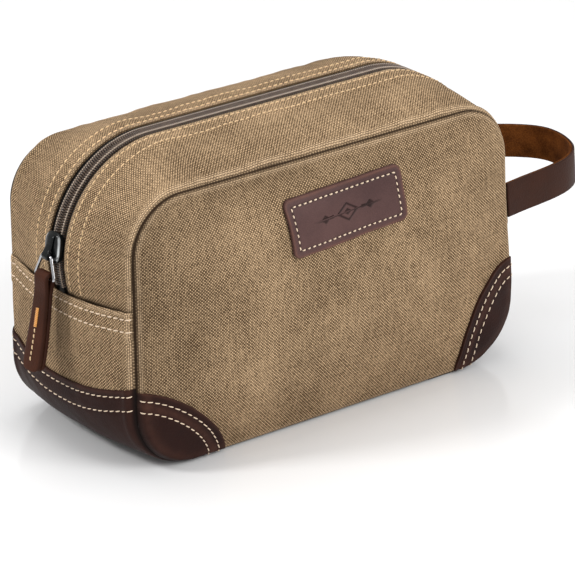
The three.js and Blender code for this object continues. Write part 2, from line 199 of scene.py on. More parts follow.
# Runs a piece's modifiers and keeps the result as its mesh, with no point under the floor.
def bake(piece):
    shown = piece.evaluated_get(bpy.context.evaluated_depsgraph_get())
    made = bpy.data.meshes.new_from_object(shown)
    piece.modifiers.clear()
    piece.data = made
    spots = np.empty(len(made.vertices) * 3, np.float32)
    made.vertices.foreach_get("co", spots)
    spots[2::3] = np.maximum(spots[2::3], floorGap)
    made.vertices.foreach_set("co", spots)
    return piece


# Gives a surface its thickness, inwards from its outer face, and rounds the edges where it is cut.
def thicken(piece, thickness, bevel=0.0):
    solid = piece.modifiers.new("thickness", "SOLIDIFY")
    solid.thickness, solid.offset = thickness, -1
    if bevel:
        edge = piece.modifiers.new("edge", "BEVEL")
        edge.width, edge.segments, edge.limit_method, edge.angle_limit = bevel, 3, "ANGLE", math.radians(50)
    return bake(piece)


# Dresses a piece and hangs it on its body, or for the two bends only bakes it in place, and hides the nodes
# it stands for.
def place(piece, body, material, nodes=()):
    piece.data.materials.clear()
    piece.data.materials.append(material)
    if body in ("frontBend", "backBend"):
        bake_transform(piece)
    else:
        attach(piece, body)
    if nodes:
        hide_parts(*nodes)
    return piece


# A shader node with its settings and its inputs, which are values or the outputs of other nodes.
def addNode(tree, kind, settings=None, inputs=None):
    made = tree.nodes.new(kind)
    for key, value in (settings or {}).items():
        setattr(made, key, value)
    for key, value in (inputs or {}).items():
        if isinstance(value, bpy.types.NodeSocket):
            tree.links.new(value, made.inputs[key])
        else:
            made.inputs[key].default_value = value
    return made


# One sum of two values.
def maths(tree, operation, a, b=0.0, clamp=False):
    made = addNode(tree, "ShaderNodeMath", {"operation": operation, "use_clamp": clamp}, {0: a, 1: b})
    return made.outputs[0]


# A value carried in a straight line from low and high to outLow and outHigh, and held there.
def ramp(tree, value, low, high, outLow=0.0, outHigh=1.0):
    return addNode(tree, "ShaderNodeMapRange", {"clamp": True}, {
        "Value": value, "From Min": low, "From Max": high, "To Min": outLow, "To Max": outHigh}).outputs[0]


# A colour between a and b by a share.
def blendColour(tree, share, a, b):
    return addNode(tree, "ShaderNodeMix", {"data_type": "RGBA"}, {0: share, 6: a, 7: b}).outputs[2]


# A number between a and b by a share.
def blendValue(tree, share, a, b):
    return addNode(tree, "ShaderNodeMix", {"data_type": "FLOAT"}, {0: share, 2: a, 3: b}).outputs[0]


# Cloudy noise of about 0.3 to 0.7, with scale clouds to a metre.
def noise(tree, vector, scale, detail=2.0, roughness=0.5):
    return addNode(tree, "ShaderNodeTexNoise", None, {
        "Vector": vector, "Scale": scale, "Detail": detail, "Roughness": roughness}).outputs[0]


# A shader group with its named inputs and outputs.
def newGroup(name, takes, gives):
    tree = bpy.data.node_groups.new(name, "ShaderNodeTree")
    for label, kind in takes:
        tree.interface.new_socket(label, in_out="INPUT", socket_type=kind)
    for label, kind in gives:
        tree.interface.new_socket(label, in_out="OUTPUT", socket_type=kind)
    return tree, tree.nodes.new("NodeGroupInput"), tree.nodes.new("NodeGroupOutput")


# Plain weave: the product of two sine waves is one rounded pillow per crossing, and its sign says
# whether warp or weft lies on top. Each yarn has its own brightness along its length.
def weaveGroup():
    tree, start, end = newGroup("plainWeave", [
        ("Vector", "NodeSocketVector"), ("Yarns", "NodeSocketFloat"), ("Wobble", "NodeSocketFloat")], [
        ("Height", "NodeSocketFloat"), ("Warp", "NodeSocketFloat"), ("Yarn", "NodeSocketFloat")])
    stray = addNode(tree, "ShaderNodeTexNoise", None, {
        "Vector": start.outputs["Vector"], "Scale": 160.0, "Detail": 2.0})
    centred = addNode(tree, "ShaderNodeVectorMath", {"operation": "SUBTRACT"}, {
        0: stray.outputs["Color"], 1: (0.5, 0.5, 0.5)})
    strayed = addNode(tree, "ShaderNodeVectorMath", {"operation": "SCALE"}, {
        0: centred.outputs[0], "Scale": start.outputs["Wobble"]})
    moved = addNode(tree, "ShaderNodeVectorMath", {"operation": "ADD"}, {
        0: start.outputs["Vector"], 1: strayed.outputs[0]})
    counted = addNode(tree, "ShaderNodeVectorMath", {"operation": "SCALE"}, {
        0: moved.outputs[0], "Scale": start.outputs["Yarns"]})
    axes = addNode(tree, "ShaderNodeSeparateXYZ", None, {0: counted.outputs[0]})
    waves = [maths(tree, "SINE", maths(tree, "MULTIPLY", axes.outputs[k], math.pi)) for k in (0, 1)]
    product = maths(tree, "MULTIPLY", waves[0], waves[1])
    height = maths(tree, "POWER", maths(tree, "ABSOLUTE", product), 0.45)
    warp = ramp(tree, product, -0.15, 0.65)
    runs = []
    for across, along in ((0, 1), (1, 0)):
        stretched = addNode(tree, "ShaderNodeCombineXYZ", None, {
            0: maths(tree, "MULTIPLY", axes.outputs[across], 0.8),
            1: maths(tree, "MULTIPLY", axes.outputs[along], 0.07), 2: 3.7 + 4 * across})
        runs.append(noise(tree, stretched.outputs[0], 1.0, 1.0))
    yarn = blendValue(tree, warp, *runs)
    tree.links.new(height, end.inputs["Height"])
    tree.links.new(warp, end.inputs["Warp"])
    tree.links.new(ramp(tree, yarn, 0.3, 0.7), end.inputs["Yarn"])
    return tree


# Leather grain: small rounded cells, highest at their middles, with fine creases between them, and slow
# patches of tone. The cells are pushed about by noise so that they don't lie in rows.
def grainGroup():
    tree, start, end = newGroup("leatherGrain", [
        ("Vector", "NodeSocketVector"), ("Cells", "NodeSocketFloat")], [
        ("Height", "NodeSocketFloat"), ("Patches", "NodeSocketFloat"), ("Fine", "NodeSocketFloat")])
    bent = noise(tree, start.outputs["Vector"], 260.0, 3.0)
    shift = addNode(tree, "ShaderNodeCombineXYZ", None, {
        0: maths(tree, "MULTIPLY", bent, 1.2 * mm), 1: maths(tree, "MULTIPLY", bent, -1.2 * mm), 2: 0.0})
    pushed = addNode(tree, "ShaderNodeVectorMath", {"operation": "ADD"}, {
        0: start.outputs["Vector"], 1: shift.outputs[0]})
    cells = addNode(tree, "ShaderNodeTexVoronoi", {"feature": "SMOOTH_F1"}, {
        "Vector": pushed.outputs[0], "Scale": start.outputs["Cells"], "Smoothness": 0.35})
    fine = noise(tree, start.outputs["Vector"], 2400.0, 3.0, 0.6)
    height = maths(tree, "ADD", ramp(tree, cells.outputs["Distance"], 0.0, 0.6, 1.0, 0.0),
                   maths(tree, "MULTIPLY", fine, 0.35))
    patches = noise(tree, start.outputs["Vector"], 38.0, 4.0, 0.6)
    tree.links.new(height, end.inputs["Height"])
    tree.links.new(ramp(tree, patches, 0.3, 0.7), end.inputs["Patches"])
    tree.links.new(ramp(tree, fine, 0.3, 0.7), end.inputs["Fine"])
    return tree


# Wear and shade painted on a piece by its "wear" and "shade" attributes, broken up by noise.
def marksGroup():
    tree, start, end = newGroup("wearAndShade", [
        ("Vector", "NodeSocketVector"), ("Breaks", "NodeSocketFloat")], [
        ("Wear", "NodeSocketFloat"), ("Shade", "NodeSocketFloat")])
    broken = ramp(tree, noise(tree, start.outputs["Vector"], 210.0, 4.0, 0.65), 0.3, 0.65)
    for mark, share in (("wear", broken), ("shade", ramp(tree, broken, 0.0, 1.0, 0.75, 1.0))):
        read = addNode(tree, "ShaderNodeAttribute", {"attribute_name": mark})
        kept = blendValue(tree, start.outputs["Breaks"], 1.0, share)
        marked = maths(tree, "MULTIPLY", read.outputs["Fac"], kept, True)
        tree.links.new(marked, end.inputs[mark.capitalize()])
    return tree


groups = {"weave": weaveGroup(), "grain": grainGroup(), "marks": marksGroup()}


# Places a group in a material with that material's own values.
def useGroup(tree, name, inputs):
    return addNode(tree, "ShaderNodeGroup", {"node_tree": groups[name]}, inputs)


# A new material: itself, its nodes, its shader and its coordinates.
def startMaterial(name, roughness=0.6, metallic=0.0, coat=0.0, sheen=0.0):
    made = bpy.data.materials.new(name)
    made.use_nodes = True
    tree = made.node_tree
    shader = tree.nodes["Principled BSDF"]
    shader.inputs["Roughness"].default_value = roughness
    shader.inputs["Metallic"].default_value = metallic
    shader.inputs["Coat Weight"].default_value = coat
    shader.inputs["Sheen Weight"].default_value = sheen
    where = tree.nodes.new("ShaderNodeTexCoord")
    return made, tree, shader, where


# Turns a height of 0 to 1 into relief of the given distance.
def bump(tree, shader, height, distance, strength=1.0):
    values = {"Strength": strength, "Distance": distance, "Height": height}
    made = addNode(tree, "ShaderNodeBump", None, values)
    tree.links.new(made.outputs[0], shader.inputs["Normal"])


canvasLook = {
    "yarns": 1 / (0.86 * mm),
    "dark": (0.046, 0.024, 0.009, 1),
    "light": (0.725, 0.500, 0.292, 1),
    # painted shade laid into the gaps between yarns
    "gap": (0.026, 0.012, 0.004, 1),
    "worn": (0.700, 0.505, 0.320, 1),
    # painted shade, laid where the shade mark is set
    "creaseShade": (0.028, 0.016, 0.008, 1),
    "wobble": 0.32 * mm,  # of the yarns
    "relief": 0.22 * mm,
    "shine": 0.08,
}


# Waxed canvas. Its tone adds up the yarn's own brightness, warp over weft, fine specks and slow clouds;
# wear bleaches the tops of the yarns, and painted shade darkens the gaps between yarns and the creases.
def canvasMaterial(name, look):
    made, tree, shader, where = startMaterial(name, roughness=0.88)
    shader.inputs["Specular IOR Level"].default_value = look["shine"]
    weave = useGroup(tree, "weave", {
        "Vector": where.outputs["UV"], "Yarns": look["yarns"], "Wobble": look["wobble"]})
    marks = useGroup(tree, "marks", {"Vector": where.outputs["Object"], "Breaks": 0.7})
    speck = noise(tree, where.outputs["Object"], 900.0, 2.0, 0.7)
    tone = maths(tree, "ADD", maths(tree, "MULTIPLY", weave.outputs["Yarn"], 0.24),
                 maths(tree, "MULTIPLY", weave.outputs["Warp"], 0.66))
    tone = maths(tree, "ADD", tone, ramp(tree, speck, 0.35, 0.65, -0.16, 0.22))
    cloud = noise(tree, where.outputs["Object"], 30.0, 4.0, 0.6)
    tone = maths(tree, "ADD", tone, ramp(tree, cloud, 0.3, 0.7, -0.13, 0.13), True)
    colour = blendColour(tree, tone, look["dark"], look["light"])
    tops = ramp(tree, weave.outputs["Height"], 0.2, 0.8, 0.15, 0.9)
    # painted shade: the lower the weave, the darker
    gaps = ramp(tree, weave.outputs["Height"], 0.25, 0.75, 0.85, 0.0)
    colour = blendColour(tree, maths(tree, "MULTIPLY", marks.outputs["Wear"], tops), colour, look["worn"])
    colour = blendColour(tree, gaps, colour, look["gap"])
    # painted shade where the shade mark is set: seams, creases, hidden parts, towards the panels' left end
    colour = blendColour(tree, marks.outputs["Shade"], colour, look["creaseShade"])
    tree.links.new(colour, shader.inputs["Base Color"])
    tree.links.new(ramp(tree, weave.outputs["Height"], 0.0, 1.0, 0.96, 0.76), shader.inputs["Roughness"])
    bump(tree, shader, maths(tree, "ADD", weave.outputs["Height"], maths(tree, "MULTIPLY", speck, 0.35)),
         look["relief"], 0.8)
    return made


leatherLook = {
    "deep": (0.011, 0.0040, 0.0032, 1),
    "warm": (0.030, 0.0110, 0.0082, 1),
    "worn": (0.100, 0.043, 0.029, 1),
    # painted shade, laid where the shade mark is set
    "creaseShade": (0.004, 0.002, 0.0015, 1),
    "cells": 820.0,
    "relief": 0.10 * mm,
    "roughness": (0.40, 0.58),
    "shine": 0.075,
}
labelLeather = dict(leatherLook, deep=(0.052, 0.027, 0.026, 1), warm=(0.105, 0.055, 0.050, 1),
                    worn=(0.200, 0.085, 0.052, 1), roughness=(0.42, 0.58), shine=0.11)
strapLeather = dict(leatherLook, deep=(0.020, 0.0072, 0.0042, 1), warm=(0.066, 0.0205, 0.0100, 1),
                    roughness=(0.42, 0.60), shine=0.08)


# Leather: its tone follows the slow patches and the fine grain, from deep to warm, with worn edges and
# shaded creases over it. Its gloss changes with the same two.
def leatherMaterial(name, look):
    made, tree, shader, where = startMaterial(name, roughness=0.45)
    shader.inputs["Specular IOR Level"].default_value = look["shine"]
    grain = useGroup(tree, "grain", {"Vector": where.outputs["Object"], "Cells": look["cells"]})
    marks = useGroup(tree, "marks", {"Vector": where.outputs["Object"], "Breaks": 0.6})
    tone = maths(tree, "ADD", maths(tree, "MULTIPLY", grain.outputs["Patches"], 0.6),
                 maths(tree, "MULTIPLY", grain.outputs["Fine"], 0.3), True)
    colour = blendColour(tree, tone, look["deep"], look["warm"])
    colour = blendColour(tree, maths(tree, "MULTIPLY", marks.outputs["Wear"], 0.75), colour, look["worn"])
    # painted shade where the shade mark is set
    colour = blendColour(tree, marks.outputs["Shade"], colour, look["creaseShade"])
    tree.links.new(colour, shader.inputs["Base Color"])
    gloss = maths(tree, "ADD", maths(tree, "MULTIPLY", grain.outputs["Fine"], 0.5),
                  maths(tree, "MULTIPLY", grain.outputs["Patches"], 0.5))
    tree.links.new(ramp(tree, gloss, 0.0, 1.0, *look["roughness"]), shader.inputs["Roughness"])
    bump(tree, shader, grain.outputs["Height"], look["relief"], 0.7)
    return made


suedeLook = {"dark": (0.022, 0.005, 0.001, 1), "light": (0.190, 0.060, 0.012, 1), "fibres": 1500.0,
             "patches": 120.0, "relief": 0.35 * mm, "shine": 0.05}


# Suede: short fibres lying in patches, so its tone adds a fine noise to a slow one.
def suedeMaterial(name, look):
    made, tree, shader, where = startMaterial(name, roughness=0.95)
    shader.inputs["Specular IOR Level"].default_value = look["shine"]
    fibres = noise(tree, where.outputs["Object"], look["fibres"], 5.0, 0.75)
    patches = noise(tree, where.outputs["Object"], look["patches"], 4.0, 0.7)
    tone = maths(tree, "ADD", ramp(tree, fibres, 0.3, 0.7, 0.0, 0.6),
                 ramp(tree, patches, 0.3, 0.7, -0.1, 0.4), True)
    tree.links.new(blendColour(tree, tone, look["dark"], look["light"]), shader.inputs["Base Color"])
    bump(tree, shader, fibres, look["relief"])
    return made


threadLook = {"twist": 9000.0, "round": 6.3, "relief": 0.12 * mm}  # radians to a metre, and round a stitch


# Thread: two plies twisted together, as a sine wave of the way along a stitch plus the way round it.
def threadMaterial(name, colour, shadow):
    made, tree, shader, where = startMaterial(name, roughness=0.62, sheen=0.2)
    axes = addNode(tree, "ShaderNodeSeparateXYZ", None, {0: where.outputs["UV"]})
    turn = maths(tree, "ADD", maths(tree, "MULTIPLY", axes.outputs[0], threadLook["twist"]),
                 maths(tree, "MULTIPLY", axes.outputs[1], threadLook["round"]))
    ply = ramp(tree, maths(tree, "SINE", turn), -1.0, 1.0)
    tone = maths(tree, "MULTIPLY", ramp(tree, ply, 0.0, 1.0, 0.35, 1.0),
                 ramp(tree, noise(tree, where.outputs["Object"], 700.0, 2.0), 0.3, 0.7, 0.75, 1.0))
    tree.links.new(blendColour(tree, tone, shadow, colour), shader.inputs["Base Color"])
    bump(tree, shader, ply, threadLook["relief"], 0.8)
    return made


clothLook = {"yarns": 1 / (0.42 * mm), "wobble": 0.08 * mm, "relief": 0.12 * mm}


# Fine cloth for the zip's tapes and the lining: the weave's height times its yarns' brightness, which
# paints shade into the low parts of the weave.
def tapeMaterial(name, dark, light):
    made, tree, shader, where = startMaterial(name, roughness=0.9, sheen=0.1)
    weave = useGroup(tree, "weave", {
        "Vector": where.outputs["UV"], "Yarns": clothLook["yarns"], "Wobble": clothLook["wobble"]})
    bright = ramp(tree, weave.outputs["Yarn"], 0.0, 1.0, 0.4, 1.0)
    # painted shade: the lower the weave, the darker
    tone = maths(tree, "MULTIPLY", weave.outputs["Height"], bright)
    tree.links.new(blendColour(tree, tone, dark, light), shader.inputs["Base Color"])
    bump(tree, shader, weave.outputs["Height"], clothLook["relief"], 0.8)
    return made


# Plastic or bare metal: slow noise moves its colour between low and high and its roughness by a quarter.
def plainMaterial(name, low, high, roughness, metallic=0.0, coat=0.0, relief=0.02 * mm):
    made, tree, shader, where = startMaterial(name, roughness, metallic, coat)
    slow = noise(tree, where.outputs["Object"], 240.0, 4.0, 0.6)
    fine = noise(tree, where.outputs["Object"], 3000.0, 2.0, 0.6)
    tree.links.new(blendColour(tree, ramp(tree, slow, 0.3, 0.7), low, high), shader.inputs["Base Color"])
    tree.links.new(ramp(tree, slow, 0.3, 0.7, roughness * 0.8, roughness * 1.25), shader.inputs["Roughness"])
    bump(tree, shader, fine, relief, 0.4)
    return made


# metal is the bright bare metal that paints the highlight lines on the slider's plate
enamelLook = {"dark": (0.0025, 0.0030, 0.0030, 1), "light": (0.007, 0.008, 0.008, 1),
              "metal": (0.72, 0.74, 0.74, 1), "roughness": 0.12, "shine": 0.22}


# Black enamel over metal; where the wear mark is set it turns to bright bare metal, which paints highlight
# lines along the sides of the slider's plate.
def enamelMaterial(name, look):
    made, tree, shader, where = startMaterial(name, look["roughness"])
    shader.inputs["Specular IOR Level"].default_value = look["shine"]
    marks = useGroup(tree, "marks", {"Vector": where.outputs["Object"], "Breaks": 0.25})
    tone = ramp(tree, noise(tree, where.outputs["Object"], 300.0, 3.0), 0.3, 0.7)
    enamel = blendColour(tree, tone, look["dark"], look["light"])
    colour = blendColour(tree, marks.outputs["Wear"], enamel, look["metal"])
    tree.links.new(colour, shader.inputs["Base Color"])
    tree.links.new(marks.outputs["Wear"], shader.inputs["Metallic"])
    return made


finish = {
    "canvas": canvasMaterial("waxedCanvas", canvasLook),
    "leather": leatherMaterial("darkLeather", leatherLook),
    "label": leatherMaterial("labelLeather", labelLeather),
    "strap": leatherMaterial("strapLeather", strapLeather),
    "suede": suedeMaterial("strapSuede", suedeLook),
    "cream": threadMaterial("creamThread", (0.95, 0.79, 0.60, 1), (0.44, 0.27, 0.15, 1)),
    "golden": threadMaterial("goldenThread", (0.95, 0.69, 0.39, 1), (0.36, 0.20, 0.08, 1)),
    # zip thread in a light colour, which also paints the highlight along each coil
    "zipThreadHighlight": threadMaterial("zipThreadHighlight", (0.58, 0.45, 0.34, 1), (0.05, 0.035, 0.025, 1)),
    "orange": threadMaterial("orangeThread", (0.90, 0.42, 0.08, 1), (0.36, 0.12, 0.02, 1)),
    "tape": tapeMaterial("zipTape", (0.006, 0.005, 0.004, 1), (0.045, 0.034, 0.026, 1)),
    "lining": tapeMaterial("liningCloth", (0.050, 0.036, 0.024, 1), (0.190, 0.145, 0.100, 1)),
    "coil": plainMaterial("zipCoil", (0.060, 0.036, 0.024, 1), (0.120, 0.078, 0.052, 1), 0.22, coat=0.25),
    "gunmetal": enamelMaterial("blackEnamel", enamelLook),
    "wire": plainMaterial("ringWire", (0.36, 0.36, 0.37, 1), (0.48, 0.48, 0.49, 1), 0.12, 1.0, relief=0.0),
}
print("materials made")


# The outline of a panel, inset all round: four straights and four arcs, read at even distances along
# the outline without an inset, from the middle of the bottom towards +X.
def outline(count, inset):
    half, top = bag["halfLength"], bag["top"]
    arcs = [(half, 0, bag["bottomCorner"], -90), (half, top, bag["topCorner"], 0),
            (-half, top, bag["topCorner"], 90), (-half, 0, bag["bottomCorner"], 180)]
    spots, ways = [(0.0, 0.0)], [(0.0, -1.0)]
    for x, z, radius, begin in arcs:
        centre = (x - np.sign(x) * radius, z + (radius if z == 0 else -radius))
        for degrees in np.linspace(begin, begin + 90, 40):
            way = (math.cos(math.radians(degrees)), math.sin(math.radians(degrees)))
            spots.append((centre[0] + radius * way[0], centre[1] + radius * way[1]))
            ways.append(way)
    spots, ways = np.array(spots + spots[:1]), np.array(ways + ways[:1])
    run = lengthAlong(spots)
    at = np.linspace(0, run[-1], count, endpoint=False)
    inner = spots - ways * inset
    return np.stack([np.interp(at, run, inner[:, k]) for k in (0, 1)], -1)


# Half the panel's width at a height: less by what the corner's circle takes off there.
def halfWidth(z):
    over, under = z - (bag["top"] - bag["topCorner"]), bag["bottomCorner"] - z
    radius = np.where(over > 0, bag["topCorner"], bag["bottomCorner"])
    rise = np.clip(np.maximum(over, under), 0, radius)
    return bag["halfLength"] - radius + np.sqrt(radius ** 2 - rise ** 2)


# Distance from a point of the panel's plane to the outline, positive inside: that of a box with rounded
# corners, whose radius is larger below.
def edgeDistance(x, z):
    radius = np.where(z > bag["top"] / 2, bag["topCorner"], bag["bottomCorner"])
    overX = np.abs(x) - (bag["halfLength"] - radius)
    overZ = np.abs(z - bag["top"] / 2) - (bag["top"] / 2 - radius)
    outside = np.hypot(np.maximum(overX, 0), np.maximum(overZ, 0))
    return radius - outside - np.minimum(np.maximum(overX, overZ), 0)


panelLook = {
    "around": 460,  # points round each ring
    "thickness": 1.4 * mm,
    "flange": 5 * mm,  # of the allowance turned into the bag
    "lip": 1.3 * mm,  # height of the roll beside the seam
    "fill": 2.2 * mm,
    "fillReach": 12 * mm,
    "waves": [(0.75 * mm, 75 * mm), (0.22 * mm, 26 * mm)],  # height and length of the soft waves
    "pucker": 0.16 * mm,
    "dip": {"deep": 4.5 * mm, "at": (-36 * mm, 134 * mm), "wide": 36 * mm, "high": 15 * mm},
    "seeds": {-1: 5, 1: 21},  # of the front and the back
    "seamWear": 0.70,
    "wear": 0.10,
    "seamShade": 0.20,
    "leftShade": 0.18,
}


# How far a filled panel stands out: a quarter round up from the seam's groove, then a crown that falls off
# with the cube of the way across and with the square of the way up, a fill that levels off inwards, soft
# waves, puckers near the seam, and on the front a bell-shaped dip over the label.
def panelRise(side, x, z):
    look, seed = panelLook, panelLook["seeds"][side]
    inward = edgeDistance(x, z)
    lip = np.clip(inward / bag["roll"], 0, 1)
    rolled = -bag["groove"] + (bag["groove"] + look["lip"]) * np.sqrt(1 - (1 - lip) ** 2)
    across = np.clip(np.abs(x) / np.maximum(halfWidth(z), 1e-6), 0, 1)
    up = np.clip(z / bag["top"], 0, 1)
    crown = bag["crown"] * (1 - across ** 3) * 4 * up * (1 - up)
    fill = look["fill"] * (1 - np.exp(-np.clip(inward, 0, None) / look["fillReach"]))
    spot = np.stack([x, np.zeros_like(x), z], -1)
    calm = smooth(inward / (12 * mm))
    soft = sum(tall * wander(spot, long, seed + k) * calm for k, (tall, long) in enumerate(look["waves"]))
    pucker = look["pucker"] * wander(spot, 11 * mm, seed + 2)
    pucker = pucker * smooth(inward / (3 * mm)) * np.exp(-inward / (9 * mm))
    rise = rolled + crown + fill + soft + pucker
    if side < 0:
        dip, (atX, atZ) = look["dip"], look["dip"]["at"]
        bell = np.exp(-((x - atX) / dip["wide"]) ** 2 - ((z - atZ) / dip["high"]) ** 2)
        rise = rise - dip["deep"] * bell * calm
    return rise


# A point on a panel: its x and z, and the seam's plane plus the panel's rise for its y.
def onPanel(side, x, z, lift=0.0):
    return np.stack([x, side * (bag["halfDepth"] + panelRise(side, x, z) + lift), z], -1)


# Rings of points shrunk towards the panel's middle, share by share.
def towardsMiddle(ring, steps):
    middle = np.array([0.0, bag["top"] / 2])
    return [middle + (ring - middle) * share for share in np.linspace(1, 0, steps)[1:]]


# Rings from the seam allowance, over the roll beside the seam and on to the middle of the panel. Its wear is
# a bell curve along the seam's roll, and its shade fades inwards from the groove.
def makePanel(name, side, body, nodes):
    insets = [seamGap, *np.linspace(0.8 * mm, 6 * mm, 12), *np.linspace(7.4 * mm, 27 * mm, 15)]
    look = panelLook
    rings = [outline(look["around"], inset) for inset in insets]
    flat = np.array(rings + towardsMiddle(rings[-1], 42))
    points = onPanel(side, flat[..., 0], flat[..., 1])
    allowance = outline(look["around"], 1.2 * mm)
    inside = np.full(len(allowance), side * (bag["halfDepth"] - bag["groove"] - look["flange"]))
    points = np.concatenate([np.stack([allowance[:, 0], inside, allowance[:, 1]], -1)[None], points])
    flat = np.concatenate([allowance[None], flat])
    inward = edgeDistance(flat[..., 0], flat[..., 1])
    wear = look["seamWear"] * np.exp(-((inward - 2.0 * mm) / (1.1 * mm)) ** 2) + look["wear"]
    shade = np.exp(-(np.clip(inward - 0.3 * mm, 0, None) / (0.8 * mm)) ** 2)
    shade = shade + look["seamShade"] * np.exp(-inward / (12 * mm))
    shade = shade + look["leftShade"] * smooth((-flat[..., 0] - 50 * mm) / (60 * mm))
    shade[0] = 1
    marks = {"wear": wear, "shade": shade}
    piece = makeGrid(name, points, flat, marks, closed=True, flip=side < 0, weld=True)
    thicken(piece, look["thickness"])
    place(piece, body, finish["canvas"], nodes)


makePanel("front_panel", -1, "frontBend", ["front_panel_lower", "front_panel_upper"])
makePanel("back_panel", 1, "backBend", ["back_panel_lower", "back_panel_upper"])
print("panels made")


endAngle = math.pi / 2 + math.asin((bag["trackZ"] - bag["fold"]) / bag["trackRadius"])
trackHalf = bag["trackX"] + bag["trackRadius"] * endAngle  # from the middle of the top to the fold


# Distance from a point along a way out to the panels' outline, by halving what lies between.
def seamReach(baseX, baseZ, outX, outZ):
    near, far = np.zeros_like(baseX), np.full_like(baseX, bag["halfLength"])
    for _ in range(30):
        half = (near + far) / 2
        inside = edgeDistance(baseX + half * outX, baseZ + half * outZ) > 0
        near, far = np.where(inside, half, near), np.where(inside, far, half)
    return near


# How the gusset curves between the zip and the seam: the square of the way from one to the other.
def awayShare(y):
    return np.clip((np.abs(y) - bag["slot"]) / (bag["halfDepth"] - bag["slot"]), 0, 1) ** 2


# A point on the upper gusset. t runs along the zip from the middle of the top, negative towards the
# slider. Past the fold the strip goes straight down, a little further in, behind the end band.
def onTrack(t, y, lift=0.0):
    t, y = np.broadcast_arrays(np.asarray(t, float), np.asarray(y, float))
    over = np.clip(np.abs(t) - bag["trackX"], 0, None)
    angle = np.minimum(over / bag["trackRadius"], endAngle)
    down = np.clip(np.abs(t) - trackHalf, 0, None)
    outX, outZ = np.sign(t) * np.sin(angle), np.cos(angle)
    baseX = np.clip(t, -bag["trackX"], bag["trackX"])
    reach = mix(bag["trackRadius"], seamReach(baseX, bag["trackZ"] + 0 * t, outX, outZ), awayShare(y))
    reach = reach + lift - 1.6 * mm * smooth(down / (2.5 * mm))
    return np.stack([baseX + reach * outX, y, bag["trackZ"] + reach * outZ - down], -1)


# The edges of a gusset piece at the two seams: rounded down into the groove, with a slight ridge
# beside it where the allowance is turned under.
def seamEdge(y):
    inward = bag["halfDepth"] - np.abs(y)
    lip = np.clip((inward - 0.3 * mm) / bag["roll"], 0, 1)
    ridge = 0.8 * mm * np.exp(-((inward - 4.2 * mm) / (2.2 * mm)) ** 2)
    return -bag["groove"] * (1 - np.sqrt(1 - (1 - lip) ** 2)) + ridge


# Wear and shade along a gusset piece's two seams: bell curves of the distance inwards.
def seamMarks(y, shape):
    inward = np.broadcast_to(bag["halfDepth"] - np.abs(y), shape)
    wear = panelLook["seamWear"] * np.exp(-((inward - 2.4 * mm) / (1.4 * mm)) ** 2) + panelLook["wear"]
    shade = np.exp(-(np.clip(inward - 0.3 * mm, 0, None) / (0.8 * mm)) ** 2)
    return wear, shade


stripLook = {
    "rows": [10.2 * mm, 18.0 * mm],  # of stitches, from the zip's middle
    "tail": 15 * mm,  # behind the end bands
    "thickness": 1.3 * mm,
    "fold": 1.2 * mm,  # radius of the folded edge beside the zip
    "hem": 0.45 * mm,  # how much the doubled canvas stands up
    "waves": [(0.34 * mm, 34 * mm, 31), (0.12 * mm, 12 * mm, 32)],  # height, length and seed
    "pucker": (0.10 * mm, 5 * mm, 33),
    "flat": 52 * mm,
}


# Dents along rows of stitches: a bell-shaped groove at each row.
def dents(distance, rows, depth=0.30 * mm, width=0.9 * mm):
    return -sum(depth * np.exp(-((distance - row) / width) ** 2) for row in rows)


# The outer face of a zip strip: the track, plus its seam edge, its doubled hem, its dents and soft ripples.
def onStrip(t, y, lift=0.0):
    base = onTrack(t, y)
    calm = smooth((y - bag["slot"] - 2 * mm) / (9 * mm))
    ripples = calm * sum(tall * wander(base, long, seed) for tall, long, seed in stripLook["waves"])
    doubled = stripLook["hem"] * (1 - smooth((y - stripLook["rows"][1] - 1.5 * mm) / (1.5 * mm)))
    tall, long, seed = stripLook["pucker"]
    pucker = tall * wander(base, long, seed) * np.exp(-((y - stripLook["rows"][0]) / (4 * mm)) ** 2)
    return onTrack(t, y, lift + seamEdge(y) + doubled + dents(y, stripLook["rows"]) + ripples + pucker)


# Across, a strip runs from a quarter round at the folded edge beside the zip, out to the seam and down into
# its allowance.
def makeStrip(name, side, body, node):
    look = stripLook
    t = np.linspace(-trackHalf - look["tail"], trackHalf + look["tail"], 360)[:, None]
    fold, turn = look["fold"], np.linspace(0, math.pi / 2, 7)[:-1]
    hem = bag["slot"] + fold
    y = np.concatenate([hem - fold * np.cos(turn), np.linspace(hem, bag["halfDepth"] - 7 * mm, 44),
                        np.linspace(bag["halfDepth"] - 6.4 * mm, bag["halfDepth"] - seamGap, 14)])
    curl = np.concatenate([-fold * (1 - np.sin(turn)), np.zeros(len(y) - len(turn))])[None]
    y = y[None]
    points = onStrip(t, y, curl)
    tucked = onTrack(t, np.full((1, 1), bag["halfDepth"] - seamGap), -bag["groove"] - 4 * mm)
    points = np.concatenate([points, tucked], 1)
    y = np.append(y, [[bag["halfDepth"] + 4 * mm]], 1)
    wear, shade = seamMarks(np.minimum(y, bag["halfDepth"] - 0.3 * mm), points.shape[:2])
    wear = wear + 0.5 * np.exp(-((y - hem - 0.6 * mm) / (1.2 * mm)) ** 2)
    shade = np.maximum(shade, 0.8 * np.exp(-np.clip(y - bag["slot"], 0, None) / (0.6 * mm)))
    shade = np.maximum(shade, 0.9 * np.exp(-np.clip(trackHalf - np.abs(t), 0, None) / (1.2 * mm)))
    points[..., 1] *= side
    uv = np.stack([np.broadcast_to(t, points.shape[:2]), np.broadcast_to(y, points.shape[:2])], -1)
    piece = makeGrid(name, points, uv, {"wear": wear, "shade": shade}, flip=side < 0)
    thicken(piece, look["thickness"])
    place(piece, body, finish["canvas"], [node])


makeStrip("front_zip_canvas", -1, "front_half", "front_zip_strip")
makeStrip("back_zip_canvas", 1, "back_half", "back_zip_strip")

